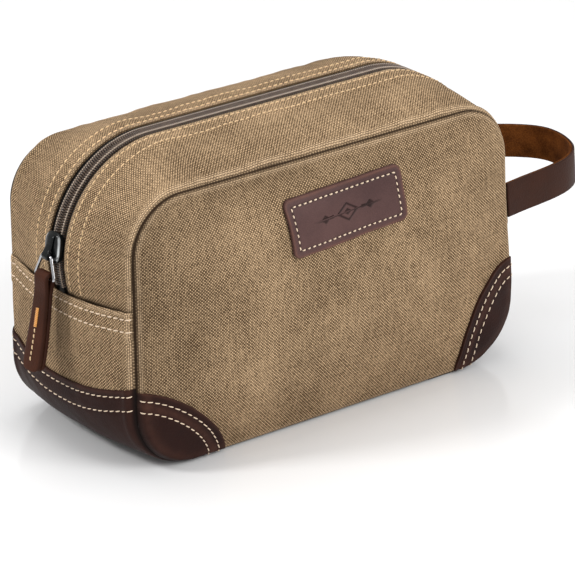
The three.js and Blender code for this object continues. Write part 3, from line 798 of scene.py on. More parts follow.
lower = {
    "floor": bag["halfLength"] - bag["bottomCorner"],
    "quarter": bag["bottomCorner"] * math.pi / 2,
    "leatherTop": 40 * mm,  # of the leather's edge at the middle of an end
    "leatherRise": 8 * mm,  # and how much higher that edge is at the seams
    "bandTop": 85.6 * mm,
    "bandRise": 3 * mm,
    "reach": 68 * mm,  # from the middle of the bottom to the leather
}
foldReach = bag["trackRadius"] * math.sin(endAngle) + bag["trackX"] - bag["halfLength"]


# The way along the lower gusset, from the middle of the bottom, to a height on the end.
def alongTo(height):
    return lower["floor"] + lower["quarter"] + height - bag["bottomCorner"]


# A point on the lower gusset: along the bottom, round the corner by an angle and straight up the end, which
# bulges between its seams by a belly that falls off with the square of the height.
def onLower(end, along, y, lift=0.0):
    along, y = np.broadcast_arrays(np.asarray(along, float), np.asarray(y, float))
    turn = np.clip((along - lower["floor"]) / bag["bottomCorner"], 0, math.pi / 2)
    up = np.clip(along - lower["floor"] - lower["quarter"], 0, None) / (bag["fold"] - bag["bottomCorner"])
    middle = foldReach * up + bag["endBelly"] * (1 - up ** 2)
    reach = bag["bottomCorner"] + lift + middle * (1 - awayShare(y)) * np.sin(turn) ** 2
    x = np.minimum(along, lower["floor"]) + reach * np.sin(turn)
    z = bag["bottomCorner"] - reach * np.cos(turn) + up * (bag["fold"] - bag["bottomCorner"])
    return np.stack([end * x, y, z], -1)


# columns of points from seam to seam, closer together beside the seams
seamColumns = np.concatenate([
    np.linspace(seamGap, 6.4 * mm, 14), np.linspace(7.2 * mm, bag["halfDepth"], 30)])
seamColumns = np.concatenate([seamColumns, 2 * bag["halfDepth"] - seamColumns[::-1][1:]]) - bag["halfDepth"]


# The upper edges of the end leather and the end band: a height plus a rise with the square of y.
def leatherEdge(y):
    return alongTo(lower["leatherTop"] + lower["leatherRise"] * (y / bag["halfDepth"]) ** 2)


def bandEdge(y):
    return alongTo(lower["bandTop"] + lower["bandRise"] * (y / bag["halfDepth"]) ** 2)


bandLook = {
    "ripple": 0.35 * mm, "seed": 41,
    "seamWear": 1.0, "topWear": 0.7,
    "bevel": 0.0, "round": 0.9 * mm, "thickness": 1.4 * mm,
    "finish": finish["canvas"], "slot": "canvas", "node": "end_canvas",
    "rows": [3.6 * mm, 10.2 * mm], "thread": 0.80 * mm,
    "low": lambda y: leatherEdge(y) - 2 * mm, "top": bandEdge, "count": 64,
    "lift": lambda along: 0.5 * mm + 0.6 * mm * smooth((along - alongTo(73 * mm)) / (2 * mm)),
    "flat": (114 * mm, 50 * mm),
}
hideLook = {
    "ripple": 0.20 * mm, "seed": 51,
    "seamWear": 0.25, "topWear": 0.35,
    "bevel": 0.35 * mm, "round": 0.3 * mm, "thickness": 1.7 * mm,
    "finish": finish["leather"], "slot": "leather", "node": "end_leather",
    "rows": [3.8 * mm, 11.4 * mm], "thread": 0.64 * mm,
    "low": lambda y: lower["reach"] + 0 * y, "top": leatherEdge, "count": 110,
    "lift": lambda along: 1.9 * mm * smooth((along - lower["floor"]) / lower["quarter"]),
}


# The outer face of an end's canvas or leather: the lower gusset plus its lift, its seam edges, its dents, its
# rounded top and its ripples, all fading to nothing under the bag.
def onEnd(end, along, y, look, lift=0.0):
    base = onLower(end, along, y)
    toTop = look["top"](y) - along
    risen = smooth((along - lower["floor"]) / lower["quarter"])
    calm = smooth((bag["halfDepth"] - np.abs(y)) / (9 * mm)) * risen
    seed = look["seed"] + end
    ripples = look["ripple"] * calm * (wander(base, 38 * mm, seed) + 0.35 * wander(base, 13 * mm, seed + 7))
    edge = seamEdge(y) * np.maximum(risen, seamEdge(y) < 0)
    top = -look["round"] * np.exp(-(np.clip(toTop, 0, None) / (0.6 * mm)) ** 2)
    under = np.where(risen > 0, 1.0, 0.0) * np.minimum(edge, 0) * (1 - risen) + edge * risen
    rows = dents(toTop, look["rows"]) * risen
    return onLower(end, along, y, lift + look["lift"](along) + under + ripples + top + rows)


# Seam to seam between two edges that may curve with y, its rows closer together towards the top. The first
# and last columns are the seam allowances.
def makeEnd(name, end, hand, look):
    y = seamColumns[None]
    high = look["top"](y)
    along = mix(look["low"](y), high, 1 - (1 - np.linspace(0, 1, look["count"])[:, None]) ** 1.25)
    toTop = high - along
    points = onEnd(end, along, y, look)
    tucked = onLower(end, along[:, :1], y[:, :1], look["lift"](along[:, :1]) - bag["groove"] - 4 * mm)
    tucked[..., 2] = np.maximum(tucked[..., 2], 1.8 * mm)
    points = np.concatenate([tucked, points, tucked * (1, -1, 1)], 1)
    wear, shade = seamMarks(y, along.shape)
    wear = wear * look["seamWear"] + look["topWear"] * np.exp(-((toTop - 1.0 * mm) / (1.2 * mm)) ** 2)
    wear = np.pad(wear, ((0, 0), (1, 1)))
    shade = np.pad(shade, ((0, 0), (1, 1)), constant_values=1)
    wide = np.pad(np.broadcast_to(y, along.shape), ((0, 0), (1, 1)), mode="edge")
    long = np.pad(along, ((0, 0), (1, 1)), mode="edge")
    marks = {"wear": wear, "shade": shade}
    piece = makeGrid(name, points, np.stack([wide, long], -1), marks, flip=end > 0)
    thicken(piece, look["thickness"], look["bevel"])
    place(piece, "shell", look["finish"], [f"{hand}_{look['node']}"])


for end, hand in ((-1, "left"), (1, "right")):
    makeEnd(f"{hand}_end_band", end, hand, bandLook)
    makeEnd(f"{hand}_end_hide", end, hand, hideLook)


# The bottom is flat, and its edges turn up into the seams by the depth of the seam's groove.
def makeBottom():
    half = lower["reach"] - 0.3 * mm
    x = np.linspace(-half, half, 80)[:, None]
    y = seamColumns[None]
    points = np.stack([x + 0 * y, y + 0 * x, -np.minimum(seamEdge(y), 0) + 0 * x], -1)
    wear, shade = seamMarks(y, points.shape[:2])
    marks = {"wear": wear, "shade": shade}
    piece = makeGrid("base_canvas", points, points[..., :2].copy(), marks, flip=True)
    thicken(piece, bandLook["thickness"])
    place(piece, "shell", finish["canvas"], ["bottom_canvas"])


makeBottom()
print("gusset made")


patchLook = {
    "left": (52 * mm, 46 * mm), "right": (37 * mm, 57 * mm),  # width and height at each end
    "fullness": {"left": 1.5, "right": 2.2},
    "rows": {"left": (4.0 * mm, 10.3 * mm), "right": (4.2 * mm, 10.0 * mm)},  # from the free edge
    "lift": 1.7 * mm,
    "thickness": 1.6 * mm,
    "bevel": 0.3 * mm,
    "groove": 0.2 * mm,  # along the outer row
    "thread": 0.64 * mm,
    "seamWear": 0.30, "edgeWear": 0.45, "rowWear": 0.45,
}


# The free edge of a patch, moved inwards: the curve (x / wide)^fullness + (z / high)^fullness = 1, from the
# end seam to the bottom seam.
def patchEdge(hand, turn, inset=0.0):
    wide, high = patchLook[hand]
    power = 2 / patchLook["fullness"][hand]
    x = bag["halfLength"] - (wide - inset) * np.sin(turn) ** power
    z = (high - inset) * np.cos(turn) ** power
    return x, z


# The sewn edge of a patch and the way out from it: straight down the end seam, round the corner's quarter
# circle and straight along the bottom seam.
def sewnEdge(hand, share):
    wide, high = patchLook[hand]
    radius = bag["bottomCorner"]
    wall, ground = high - radius, wide - radius
    along = share * (wall + radius * math.pi / 2 + ground)
    turn = np.clip((along - wall) / radius, 0, math.pi / 2)
    past = np.clip(along - wall - radius * math.pi / 2, 0, None)
    x = bag["halfLength"] - radius * (1 - np.cos(turn)) - past
    z = np.clip(wall - along, 0, None) + radius * (1 - np.sin(turn))
    return x, z, np.cos(turn), -np.sin(turn)


# A patch's lift off the panel: nothing at the seam, rising smoothly over the first 2.5 mm.
def patchLift(x, z):
    return patchLook["lift"] * smooth(edgeDistance(x, z) / (2.5 * mm))


# A patch is ruled straight from its sewn edge to its free edge and laid on the panel. Its wear is the sum of
# bell curves beside the seam, at the free edge and between the two rows of stitches.
def makePatch(side, end, face, hand):
    share = np.linspace(0.015, 0.985, 90)[:, None]
    across = np.concatenate([np.linspace(0, 0.2, 12), np.linspace(0.23, 0.97, 26), [0.985, 1.0]])[None]
    freeX, freeZ = patchEdge(hand, share * math.pi / 2)
    seamX, seamZ, outX, outZ = sewnEdge(hand, share)
    seamX, seamZ = seamX - seamGap * outX, seamZ - seamGap * outZ
    x, z = mix(seamX, freeX, across), mix(seamZ, freeZ, across)
    inward = np.clip(edgeDistance(x, z), 0, None)
    toFree = np.hypot(x - freeX, z - freeZ)
    lift = patchLift(x, z) + dents(toFree, [4.0 * mm], patchLook["groove"])
    points = onPanel(side, end * x, z, lift)
    between = sum(patchLook["rows"][hand]) / 2
    wear = patchLook["seamWear"] * np.exp(-((inward - 4 * mm) / (3 * mm)) ** 2)
    wear = wear + patchLook["edgeWear"] * np.exp(-(toFree / (0.9 * mm)) ** 2)
    wear = wear + patchLook["rowWear"] * np.exp(-((toFree - between) / (2.0 * mm)) ** 2)
    shade = np.exp(-(inward / (1.0 * mm)) ** 2)
    marks = {"wear": wear, "shade": shade}
    piece = makeGrid(f"{face}_{hand}_corner_hide", points, np.stack([x, z], -1), marks, flip=side * end < 0)
    thicken(piece, patchLook["thickness"], patchLook["bevel"])
    place(piece, "shell", finish["leather"], [f"{face}_{hand}_corner_patch"])


for side, face in ((-1, "front"), (1, "back")):
    for end, hand in ((-1, "left"), (1, "right")):
        makePatch(side, end, face, hand)


# One stitch lies along +X with its back to -Z: an oval bar whose size is the root of 1 - |x|^3.2 and which
# dips into the cloth with |x|^3, where x runs from -1 to 1.
def stitchShape(length, width, height, rings=7, around=8):
    a = np.linspace(0, 1, rings)[:, None]
    turn = np.linspace(0, 2 * math.pi, around, endpoint=False)[None]
    size = np.sqrt(np.clip(1 - np.abs(2 * a - 1) ** 3.2, 0.0, 1)) * 0.92 + 0.08
    dip = -height * 0.85 * np.abs(2 * a - 1) ** 3
    shape = np.stack([(a - 0.5) * length + 0 * turn, size * width / 2 * np.cos(turn),
                      dip + size * height / 2 * np.sin(turn)], -1)
    return shape, np.stack([a * length + 0 * turn, turn / (2 * math.pi) + 0 * a], -1)


# Lays stitches end to end along a path on a surface, evenly, each turned to the path and the surface.
def makeStitches(name, path, normals, body, thread, slot="thread", pitch=4.2 * mm, width=0.72 * mm,
                 height=0.58 * mm, fill=0.86, lean=6.0):
    run = lengthAlong(path)
    count = max(int(round(run[-1] / pitch)), 1)
    at = (np.arange(count) + 0.5) * run[-1] / count

    def read(values, where):
        return np.stack([np.interp(where, run, values[:, k]) for k in range(3)], -1)

    middle, up = read(path, at), unit(read(normals, at))
    ahead = read(path, at + 0.4 * pitch) - read(path, at - 0.4 * pitch)
    ahead = unit(ahead - up * (ahead * up).sum(-1, keepdims=True))
    side = np.cross(up, ahead)
    angle = math.radians(lean)
    c, s = math.cos(angle), math.sin(angle)
    ahead, side = ahead * c + side * s, side * c - ahead * s
    shape, uv = stitchShape(pitch * fill, width, height)
    rings, around = shape.shape[:2]
    rng = np.random.default_rng(len(name) * 7 + count)
    grow = rng.uniform(0.93, 1.05, (count, 1, 1, 1))
    points = middle[:, None, None] + (shape[None, ..., :1] * grow * ahead[:, None, None]
                                      + shape[None, ..., 1:2] * side[:, None, None]
                                      + (shape[None, ..., 2:] + height * 0.22) * up[:, None, None])
    shift = np.arange(count) * rings * around
    faces = (gridFaces(rings, around, True, True)[None] + shift[:, None, None]).reshape(-1, 4).tolist()
    ends = [np.arange(around)[::-1], np.arange(around) + (rings - 1) * around]
    faces += [(cap + first).tolist() for first in shift for cap in ends]
    piece = makeMesh(name, points.reshape(-1, 3), faces, np.broadcast_to(uv, (count, *uv.shape)))
    return place(piece, body, finish[thread])


# Path and normals along one line of a surface, given as a function of one running value and a step aside.
def lineOn(surface, values, aside=0.3 * mm):
    path = surface(values, 0.0)
    along = np.gradient(path, axis=0)
    return path, unit(np.cross(along, surface(values, aside) - path))


# Turns normals away from the bag's middle.
def faceOut(path, normals, centre=(0, 0, 72 * mm)):
    flip = ((path - np.array(centre)) * normals).sum(-1) < 0
    return path, np.where(flip[:, None], -normals, normals)


for side, face in ((-1, "front"), (1, "back")):
    for number, row in enumerate(stripLook["rows"]):
        values = np.linspace(-trackHalf + 1 * mm, trackHalf - 1 * mm, 420)
        path, normals = faceOut(*lineOn(
            lambda t, s: onStrip(t, row + s, 0.12 * mm) * (1, side, 1), values))
        makeStitches(f"{face}_zip_stitches_{number + 1}", path, normals, f"{face}_half", "golden",
                     pitch=3.6 * mm, width=0.74 * mm)

for end, hand in ((-1, "left"), (1, "right")):
    values = np.linspace(-1, 1, 160) * (bag["halfDepth"] - 0.8 * mm)
    for look, word in ((bandLook, "band"), (hideLook, "hide")):
        for number, row in enumerate(look["rows"]):
            path, normals = faceOut(*lineOn(
                lambda y, s: onEnd(end, look["top"](y) - row + s, y, look, 0.12 * mm), values))
            makeStitches(f"{hand}_{word}_stitches_{number + 1}", path, normals, "shell", "cream",
                         width=look["thread"])

for side, face in ((-1, "front"), (1, "back")):
    for end, hand in ((-1, "left"), (1, "right")):
        for number, row in enumerate(patchLook["rows"][hand]):
            turn = np.linspace(0.01, 0.99, 300) * math.pi / 2
            x, z = patchEdge(hand, turn, row)
            kept = edgeDistance(x, z) > 0.9 * mm
            x, z = x[kept], z[kept]
            lift = patchLift(x, z) - 0.05 * mm
            path = onPanel(side, end * x, z, lift)
            near = onPanel(side, end * (x + 0.3 * mm), z + 0.3 * mm, lift)
            normals = unit(np.cross(np.gradient(path, axis=0), near - path))
            path, normals = faceOut(path, normals)
            makeStitches(f"{face}_{hand}_corner_stitches_{number + 1}", path, normals, "shell", "cream",
                         pitch=4.0 * mm, width=patchLook["thread"])
print("stitches made")


labelLook = {
    "half": (36.8 * mm, 14.6 * mm), "corner": 4 * mm,
    "centre": (5.2 * mm, 114.5 * mm), "tilt": 3.0,
    "lift": 0.4 * mm, "thickness": 1.9 * mm,
    "round": 0.7 * mm,  # of its upper edge
    "border": 3.8 * mm,  # from the edge to the row of stitches
    "groove": 0.28 * mm,
    "pressed": 0.45 * mm,
}


# A rounded rectangle inset all round, drawn about its own middle.
def roundedRing(half, corner, inset, count=120):
    turn = np.linspace(0, 2 * math.pi, count, endpoint=False)
    radius = max(corner - inset, 0.4 * mm)
    wide, high = half[0] - inset - radius, half[1] - inset - radius
    c, s = np.cos(turn), np.sin(turn)
    x, y = np.clip(c * 1e9, -wide, wide) + radius * c, np.clip(s * 1e9, -high, high) + radius * s
    return np.stack([x, y], -1)


# Spreads a ring's points evenly along it.
def evenRing(ring, count):
    closed = np.vstack([ring, ring[:1]])
    run = lengthAlong(closed)
    at = np.linspace(0, run[-1], count, endpoint=False)
    return np.stack([np.interp(at, run, closed[:, k]) for k in (0, 1)], -1)


# The label is turned by its tilt about its centre and laid on the front panel.
def onLabel(flat, lift):
    tilt = math.radians(labelLook["tilt"])
    x = labelLook["centre"][0] + flat[..., 0] * math.cos(tilt) - flat[..., 1] * math.sin(tilt)
    z = labelLook["centre"][1] + flat[..., 0] * math.sin(tilt) + flat[..., 1] * math.cos(tilt)
    return onPanel(-1, x, z, lift)


# A pressed ornament, as distance to its edge: a hollow diamond with a smaller one on each side, joined by
# tapering bars. It is negative where the leather is pressed in.
def ornament(x, z):
    x = np.abs(x)
    big = np.abs((x / 1.5 + np.abs(z)) - 4.2 * mm) - 0.55 * mm
    core = x / 1.5 + np.abs(z) - 1.7 * mm
    taper = np.abs(z) - 0.75 * mm * (1 - (x - 9 * mm) / (17 * mm))
    bar = np.maximum(taper, np.maximum(9 * mm - x, x - 22 * mm))
    small = (np.abs(x - 14.5 * mm) / 1.3 + np.abs(z)) - 2.2 * mm
    return np.minimum(np.minimum(big, core), np.minimum(bar, small))


# The label is rings drawn at growing insets and the heights of its profile: up its edge, a quarter round, a
# bell-shaped groove under the stitches and a flat middle, which the ornament presses in.
def makeLabel():
    look = labelLook
    half, corner, border = look["half"], look["corner"], look["border"]
    thick, bend = look["thickness"], look["round"]
    profile = [(14 * mm, 0), (6 * mm, 0), (0.3 * mm, 0), (0, 0.3 * mm), (0, thick - bend)]
    profile += [(bend * (1 - math.cos(a)), thick - bend * (1 - math.sin(a)))
                for a in np.linspace(0.2, math.pi / 2, 6)]
    profile += [(d * mm, thick) for d in (1.4, 2.0, 2.6)]
    profile += [(border + d * mm, thick - look["groove"] * math.exp(-(d / 0.5) ** 2))
                for d in (-0.8, -0.4, 0, 0.4, 0.8)]
    profile += [(d * mm, thick) for d in np.linspace(5.2, 14.3, 27)]
    flat = np.array([evenRing(roundedRing(half, corner, inset, 1440), 420) for inset, _ in profile])
    insets, lifts = np.array(profile).T[..., None]
    spot = np.concatenate([flat, np.zeros_like(flat[..., :1])], -1)
    upper = lifts > thick * 0.9
    uneven = 0.08 * mm * wander(spot, 16 * mm, 77) * upper
    pressed = smooth(0.5 - ornament(flat[..., 0], flat[..., 1]) / (0.5 * mm)) * upper
    points = onLabel(flat, lifts + look["lift"] + uneven - look["pressed"] * pressed)
    wear = 0.60 * np.exp(-((insets - 0.7 * mm) / (0.6 * mm)) ** 2) * (lifts > 0.5 * mm) + 0 * pressed
    shade = 0.6 * np.exp(-((insets - border) / (0.5 * mm)) ** 2) * (lifts > thick * 0.8)
    marks = {"wear": wear, "shade": np.maximum(shade, 0.75 * pressed)}
    piece = closeEnds(makeGrid("front_label", points, flat, marks, closed=True))
    place(piece, "front_half", finish["label"], ["label"])
    ring = evenRing(roundedRing(half, corner, border, 720), 400)
    ring = np.vstack([ring, ring[:1]])
    path = onLabel(ring, look["lift"] + thick - 0.12 * mm)
    aside = onLabel(ring * 0.97, look["lift"] + thick - 0.12 * mm)
    normals = unit(np.cross(np.gradient(path, axis=0), aside - path))
    path, normals = faceOut(path, normals)
    makeStitches("label_stitches", path, normals, "front_half", "cream",
                 pitch=3.3 * mm, width=0.8 * mm, fill=0.66)


makeLabel()
print("label made")


zipLook = {
    "pitch": 1.3 * mm,
    "wire": 0.40 * mm,
    "outer": 3.9 * mm, "inner": 0.25 * mm,  # reach of a tooth from the zip's middle
    "crest": 2.1 * mm,
    "bed": -1.9 * mm,  # the tape's height under the track
    "tapeHalf": 15 * mm,
    "tail": 14 * mm,
    "cord": (2.95 * mm, 2.05 * mm),  # from the zip's middle and above the tape; a light thread that also paints the highlight along each coil
}


# A tape is flat with a bell-shaped ridge beside the teeth, and spreads a little past the track's ends.
def makeTape(name, side, body, node):
    t = np.linspace(-trackHalf - zipLook["tail"], trackHalf + zipLook["tail"], 300)[:, None]
    y = np.array([0.75, 1.2, 2, 3, 4, 4.8, 5.6, 7, 9, 12, 15])[None] * mm
    trim = 3 * mm * np.clip((np.abs(t) - trackHalf) / (16 * mm), 0, 1)
    spread = y + trim * (1 - y / zipLook["tapeHalf"])
    ridge = 0.25 * mm * np.exp(-((y - 4.6 * mm) / (0.6 * mm)) ** 2)
    points = onTrack(t, spread, zipLook["bed"] + ridge) * (1, side, 1)
    piece = makeGrid(name, points, np.stack([t + 0 * y, y + 0 * t], -1), flip=side < 0)
    thicken(piece, 0.6 * mm)
    place(piece, body, finish["tape"], [node])


# One tooth is a loop of wire across its half of the zip: up from the tape at the outer side, over a
# rounded crest and down again at the zip's middle, where the two halves interlock.
def makeCoil(name, side, body, node):
    count = int(2 * (trackHalf - 1 * mm) / zipLook["pitch"])
    t = (np.arange(count) + (0.5 if side > 0 else 0.0)) * zipLook["pitch"] - count * zipLook["pitch"] / 2
    bend = np.linspace(0, math.pi, 10)[:, None]
    around = np.linspace(0, 2 * math.pi, 6, endpoint=False)[None]
    middle = (zipLook["outer"] + zipLook["inner"]) / 2
    half = (zipLook["outer"] - zipLook["inner"]) / 2
    wire = zipLook["wire"] * (1 + 0.25 * np.exp(-((bend - math.pi) / 0.5) ** 2))
    flatter = np.sign(np.cos(bend)) * np.abs(np.cos(bend)) ** 0.8
    path = np.stack([0.32 * mm * np.cos(bend), middle + half * flatter,
                     (zipLook["crest"] + 0.5 * mm) * np.sin(bend) ** 0.7 - 0.5 * mm], -1)
    ahead = unit(np.gradient(path, axis=0))
    flatWay = np.broadcast_to(np.array([1.0, 0, 0]), ahead.shape)
    upWay = unit(np.cross(ahead, flatWay))
    loop = path + wire[..., None] * (np.cos(around)[..., None] * flatWay + np.sin(around)[..., None] * upWay)
    along = t[:, None, None] + loop[None, ..., 0]
    across = np.broadcast_to(loop[None, ..., 1], along.shape)
    above = zipLook["bed"] + np.broadcast_to(loop[None, ..., 2], along.shape)
    points = onTrack(along.ravel(), across.ravel(), above.ravel()) * (1, side, 1)
    rows, cols = loop.shape[:2]
    shift = np.arange(count) * rows * cols
    faces = (gridFaces(rows, cols, True)[None] + shift[:, None, None]).reshape(-1, 4).tolist()
    ends = [np.arange(cols), (np.arange(cols) + (rows - 1) * cols)[::-1]]
    faces += [(cap + first).tolist() for first in shift for cap in ends]
    place(closeEnds(makeMesh(name, points, faces)), body, finish["coil"], [node])


for side, face in ((-1, "front"), (1, "back")):
    makeTape(f"{face}_tape", side, f"{face}_half", f"{face}_zip_tape")
    makeCoil(f"{face}_teeth", side, f"{face}_half", f"{face}_zip_coil")
    # a light cord along each coil's shoulder: zip thread whose light colour paints the coil's highlight
    values = np.linspace(-trackHalf + 1 * mm, trackHalf - 1 * mm, 420)
    across, above = zipLook["cord"]
    path, normals = faceOut(*lineOn(
        lambda t, s: onTrack(t, across + s, zipLook["bed"] + above) * (1, side, 1), values))
    makeStitches(f"{face}_zip_cord", path, normals, f"{face}_half", "zipThreadHighlight", "zip_coil",
                 pitch=zipLook["pitch"], width=0.95 * mm, height=0.6 * mm, fill=1.15, lean=22)
print("zip made")


pivot = Vector(joint["ring_swing"]["pos_m"])
hang = Vector(joint["tab_swing"]["pos_m"])
sliderLow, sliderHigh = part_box("slider")
sliderMid = (sliderLow.z + sliderHigh.z) / 2
sliderAngle = math.asin((sliderMid - bag["trackZ"]) / (bag["trackRadius"] + 1 * mm))


# A point about the slider's middle: up along the track, across it, and out from the canvas.
def onSlider(along, across, out):
    along, across, out = np.broadcast_arrays(along, across, out)
    angle = sliderAngle + along / bag["trackRadius"]
    reach = bag["trackRadius"] + out
    return np.stack([track[0] - reach * np.cos(angle), across, track[2] + reach * np.sin(angle)], -1)


# A curve |x/a|^p + |y/b|^p = 1, read round from +x.
def squareRing(wide, high, power, count=96):
    turn = np.linspace(0, 2 * math.pi, count, endpoint=False)
    c, s = np.cos(turn), np.sin(turn)
    x, y = np.sign(c) * np.abs(c) ** (2 / power), np.sign(s) * np.abs(s) ** (2 / power)
    return np.stack([wide * x, high * y], -1)


# Rings of growing and shrinking inset at given heights, closed into one rounded solid.
def makePillow(name, rings, heights, nodes=(), wear=0.0):
    flat = np.array(rings)
    points = onSlider(flat[..., 0], flat[..., 1], np.array(heights)[:, None] + 0 * flat[..., 0])
    piece = closeEnds(makeGrid(name, points, flat, {"wear": wear + 0 * flat[..., 0]}, closed=True))
    return place(piece, "zip_slider", finish["gunmetal"], nodes)


# A flat bar swept along a path in a plane: section |x/a|^p + |y/b|^p = 1, ends closed.
def sweepBar(name, path, halfWide, halfThick, power, toSpace, marks=None, count=20):
    ahead = unit(np.gradient(path, axis=0))
    normal = np.stack([ahead[:, 1], -ahead[:, 0]], -1)
    section = squareRing(1, 1, power, count)
    across = np.broadcast_to(np.asarray(halfWide, float).reshape(-1, 1), (len(path), 1)) * section[None, :, 0]
    thick = np.broadcast_to(np.asarray(halfThick, float).reshape(-1, 1), (len(path), 1)) * section[None, :, 1]
    first = path[:, :1] + normal[:, :1] * thick
    second = path[:, 1:] + normal[:, 1:] * thick
    points = toSpace(first, across, second)
    return closeEnds(makeGrid(name, points, np.stack([first, across], -1), marks, closed=True))


sliderLook = {
    "half": (7.8 * mm, 6.3 * mm),  # along the track and across it
    "power": 3.4,
    "plate": (0.9 * mm, 2.9 * mm),  # its lower and upper face, out from the canvas
    "edge": 0.55 * mm,
    "dome": 1.1 * mm,
    "bridgeHalf": 2.4 * mm,
    "bridgeThick": 0.55 * mm,
    "foot": -4.3 * mm,
    "rim": 0.42 * mm,  # width of the painted highlight line along the plate's sides, drawn as bright bare metal
}


# A ring of the plate at an inset, narrowed by 16 % towards the closed end and by 10 % towards the other.
def plateRing(inset):
    ring = squareRing(sliderLook["half"][0] - inset, sliderLook["half"][1] - inset, sliderLook["power"])
    along = ring[:, :1]
    taper = 1 - 0.16 * smooth((-along - 1 * mm) / (7 * mm)) - 0.10 * smooth((along - 3 * mm) / (5 * mm))
    return ring * np.hstack([np.ones_like(taper), taper])


# The plate's profile is a hollow underside, a quarter round at its edge and a dome that levels off with the
# square of the inset. The foot and the wedge are pillows of the same kind, and the bridge is a swept bar.
def makeSlider():
    low, high = sliderLook["plate"]
    edge, dome, foot = sliderLook["edge"], sliderLook["dome"], sliderLook["foot"]
    profile = [(4.6 * mm, low), (1.1 * mm, low), (0.7 * mm, low - 0.9 * mm), (0.25 * mm, low - 1.1 * mm),
               (0, low - 0.8 * mm)]
    profile += [(edge * (1 - math.cos(a)), high - edge * (1 - math.sin(a)))
                for a in np.linspace(0, math.pi / 2, 6)]
    profile += [(d, high + dome * (1 - (1 - d / (5.4 * mm)) ** 2))
                for d in np.array([0.9, 1.3, 1.9, 2.8, 3.9, 5.3]) * mm]
    rings = np.array([plateRing(inset) for inset, _ in profile])
    insets, heights = np.array(profile).T
    # painted highlight: bright bare-metal lines at the plate's edge on its two sides, set through the wear
    # mark
    rim = np.exp(-((insets - edge) / sliderLook["rim"]) ** 2) * (heights > high - 0.4 * mm)
    highlightSides = smooth((np.abs(rings[..., 1]) / sliderLook["half"][1] - 0.62) / 0.2)
    makePillow("slider_plate", rings, heights, ["slider"], rim[:, None] * highlightSides)
    under = [(4.6 * mm, 0.5), (0.4 * mm, 0.5), (0.0, 0.1), (0.0, -0.4), (0.4 * mm, -0.8), (4.6 * mm, -0.8)]
    makePillow("slider_foot", [np.minimum(plateRing(inset), (1, 0.4 * mm)) for inset, _ in under],
               [foot + lift * mm for _, lift in under])
    core = [(0.7, foot), (1.0, foot + 0.1 * mm), (1.0, high - 0.2 * mm), (0.7, high)]
    wedge = [squareRing(1.6 * mm * share, 0.45 * mm * share, 2.5, 24) - (5.4 * mm, 0) for share, _ in core]
    makePillow("slider_wedge", wedge, [lift for _, lift in core])
    # the bridge rises over the ring's bar near the lower end, then runs low along the plate to its upper end
    reach = math.hypot(pivot.x - track[0], pivot.z - track[2])
    bar = np.array([(math.asin((pivot.z - track[2]) / reach) - sliderAngle) * bag["trackRadius"],
                    reach - bag["trackRadius"]])
    turn = np.linspace(-0.25, 0.55, 9)[:, None] * math.pi
    hook = bar + 1.6 * mm * np.hstack([-np.cos(turn), np.sin(turn)])
    ridge = [(bar[0] + along * mm, high + dome + lift * mm)
             for along, lift in ((2.9, 1.5), (4.6, 0.75), (6.6, 0.5), (8.6, 0.2), (10.2, -0.9))]
    path = smoothRoute(np.vstack([[(bar[0] - 1.9 * mm, high - 0.2 * mm)], hook, ridge]), 60)
    halfWide, halfThick = sliderLook["bridgeHalf"], sliderLook["bridgeThick"]
    piece = sweepBar("slider_bridge", path, halfWide, halfThick, 3.2, onSlider, count=28)
    place(piece, "zip_slider", finish["gunmetal"])


makeSlider()

ringLook = {"wire": 0.85 * mm, "topHalf": 3.0 * mm, "footHalf": 7.4 * mm, "corner": 1.5 * mm}  # inside widths
pullLength = (hang - pivot).length
pullLean = math.atan2(pivot.x - hang.x, pivot.z - hang.z)


# Down along the leaning pull from the ring's upper bar, across it, and out from the bag.
def onPull(down, across, out):
    down, across, out = np.broadcast_arrays(down, across, out)
    return np.stack([pivot.x - down * math.sin(pullLean) - out * math.cos(pullLean), across,
                     pivot.z - down * math.cos(pullLean) + out * math.sin(pullLean)], -1)


# Round wire bent to a triangle with its top cut off, each corner a quadratic curve.
def makeRing():
    top, foot = ringLook["topHalf"] + 0.8 * mm, ringLook["footHalf"] + 0.8 * mm
    corners = np.array([(0, -top), (pullLength, -foot), (pullLength, foot), (0, top)])
    share, bends = np.linspace(0, 1, 9)[:, None], []
    for k, here in enumerate(corners):
        begin = here + unit(corners[k - 1] - here) * ringLook["corner"]
        end = here + unit(corners[(k + 1) % 4] - here) * ringLook["corner"]
        bends.append((1 - share) ** 2 * begin + 2 * share * (1 - share) * here + share ** 2 * end)
    path = np.vstack(bends)
    ahead = unit(np.roll(path, -1, 0) - np.roll(path, 1, 0))
    normal = np.stack([-ahead[:, 1], ahead[:, 0]], -1)[:, None]
    turn = np.linspace(0, 2 * math.pi, 16, endpoint=False)
    spread = ringLook["wire"] * np.cos(turn)[None, :, None] * normal + path[:, None]
    down, across = spread[..., 0], spread[..., 1]
    points = onPull(down, across, ringLook["wire"] * np.sin(turn)[None] + 0 * down)
    points = np.concatenate([points, points[:1]])
    piece = closeEnds(makeGrid("wire_ring", points, closed=True, weld=True))
    place(piece, "ring", finish["wire"], ["pull_ring"])


makeRing()

tabLook = {
    "topHalf": 5.0 * mm, "footHalf": 6.9 * mm, "length": 48.6 * mm,
    "layer": 2.3 * mm,
    "eye": 0.95 * mm,  # radius of the fold round the ring's bar
    "curl": 2.2 * mm, "cup": 0.5 * mm,
    "corner": 4.6 * mm,
    "tack": (16 * mm, 26 * mm), "row": (26.4 * mm, 44 * mm),  # where the two kinds of stitches run
}


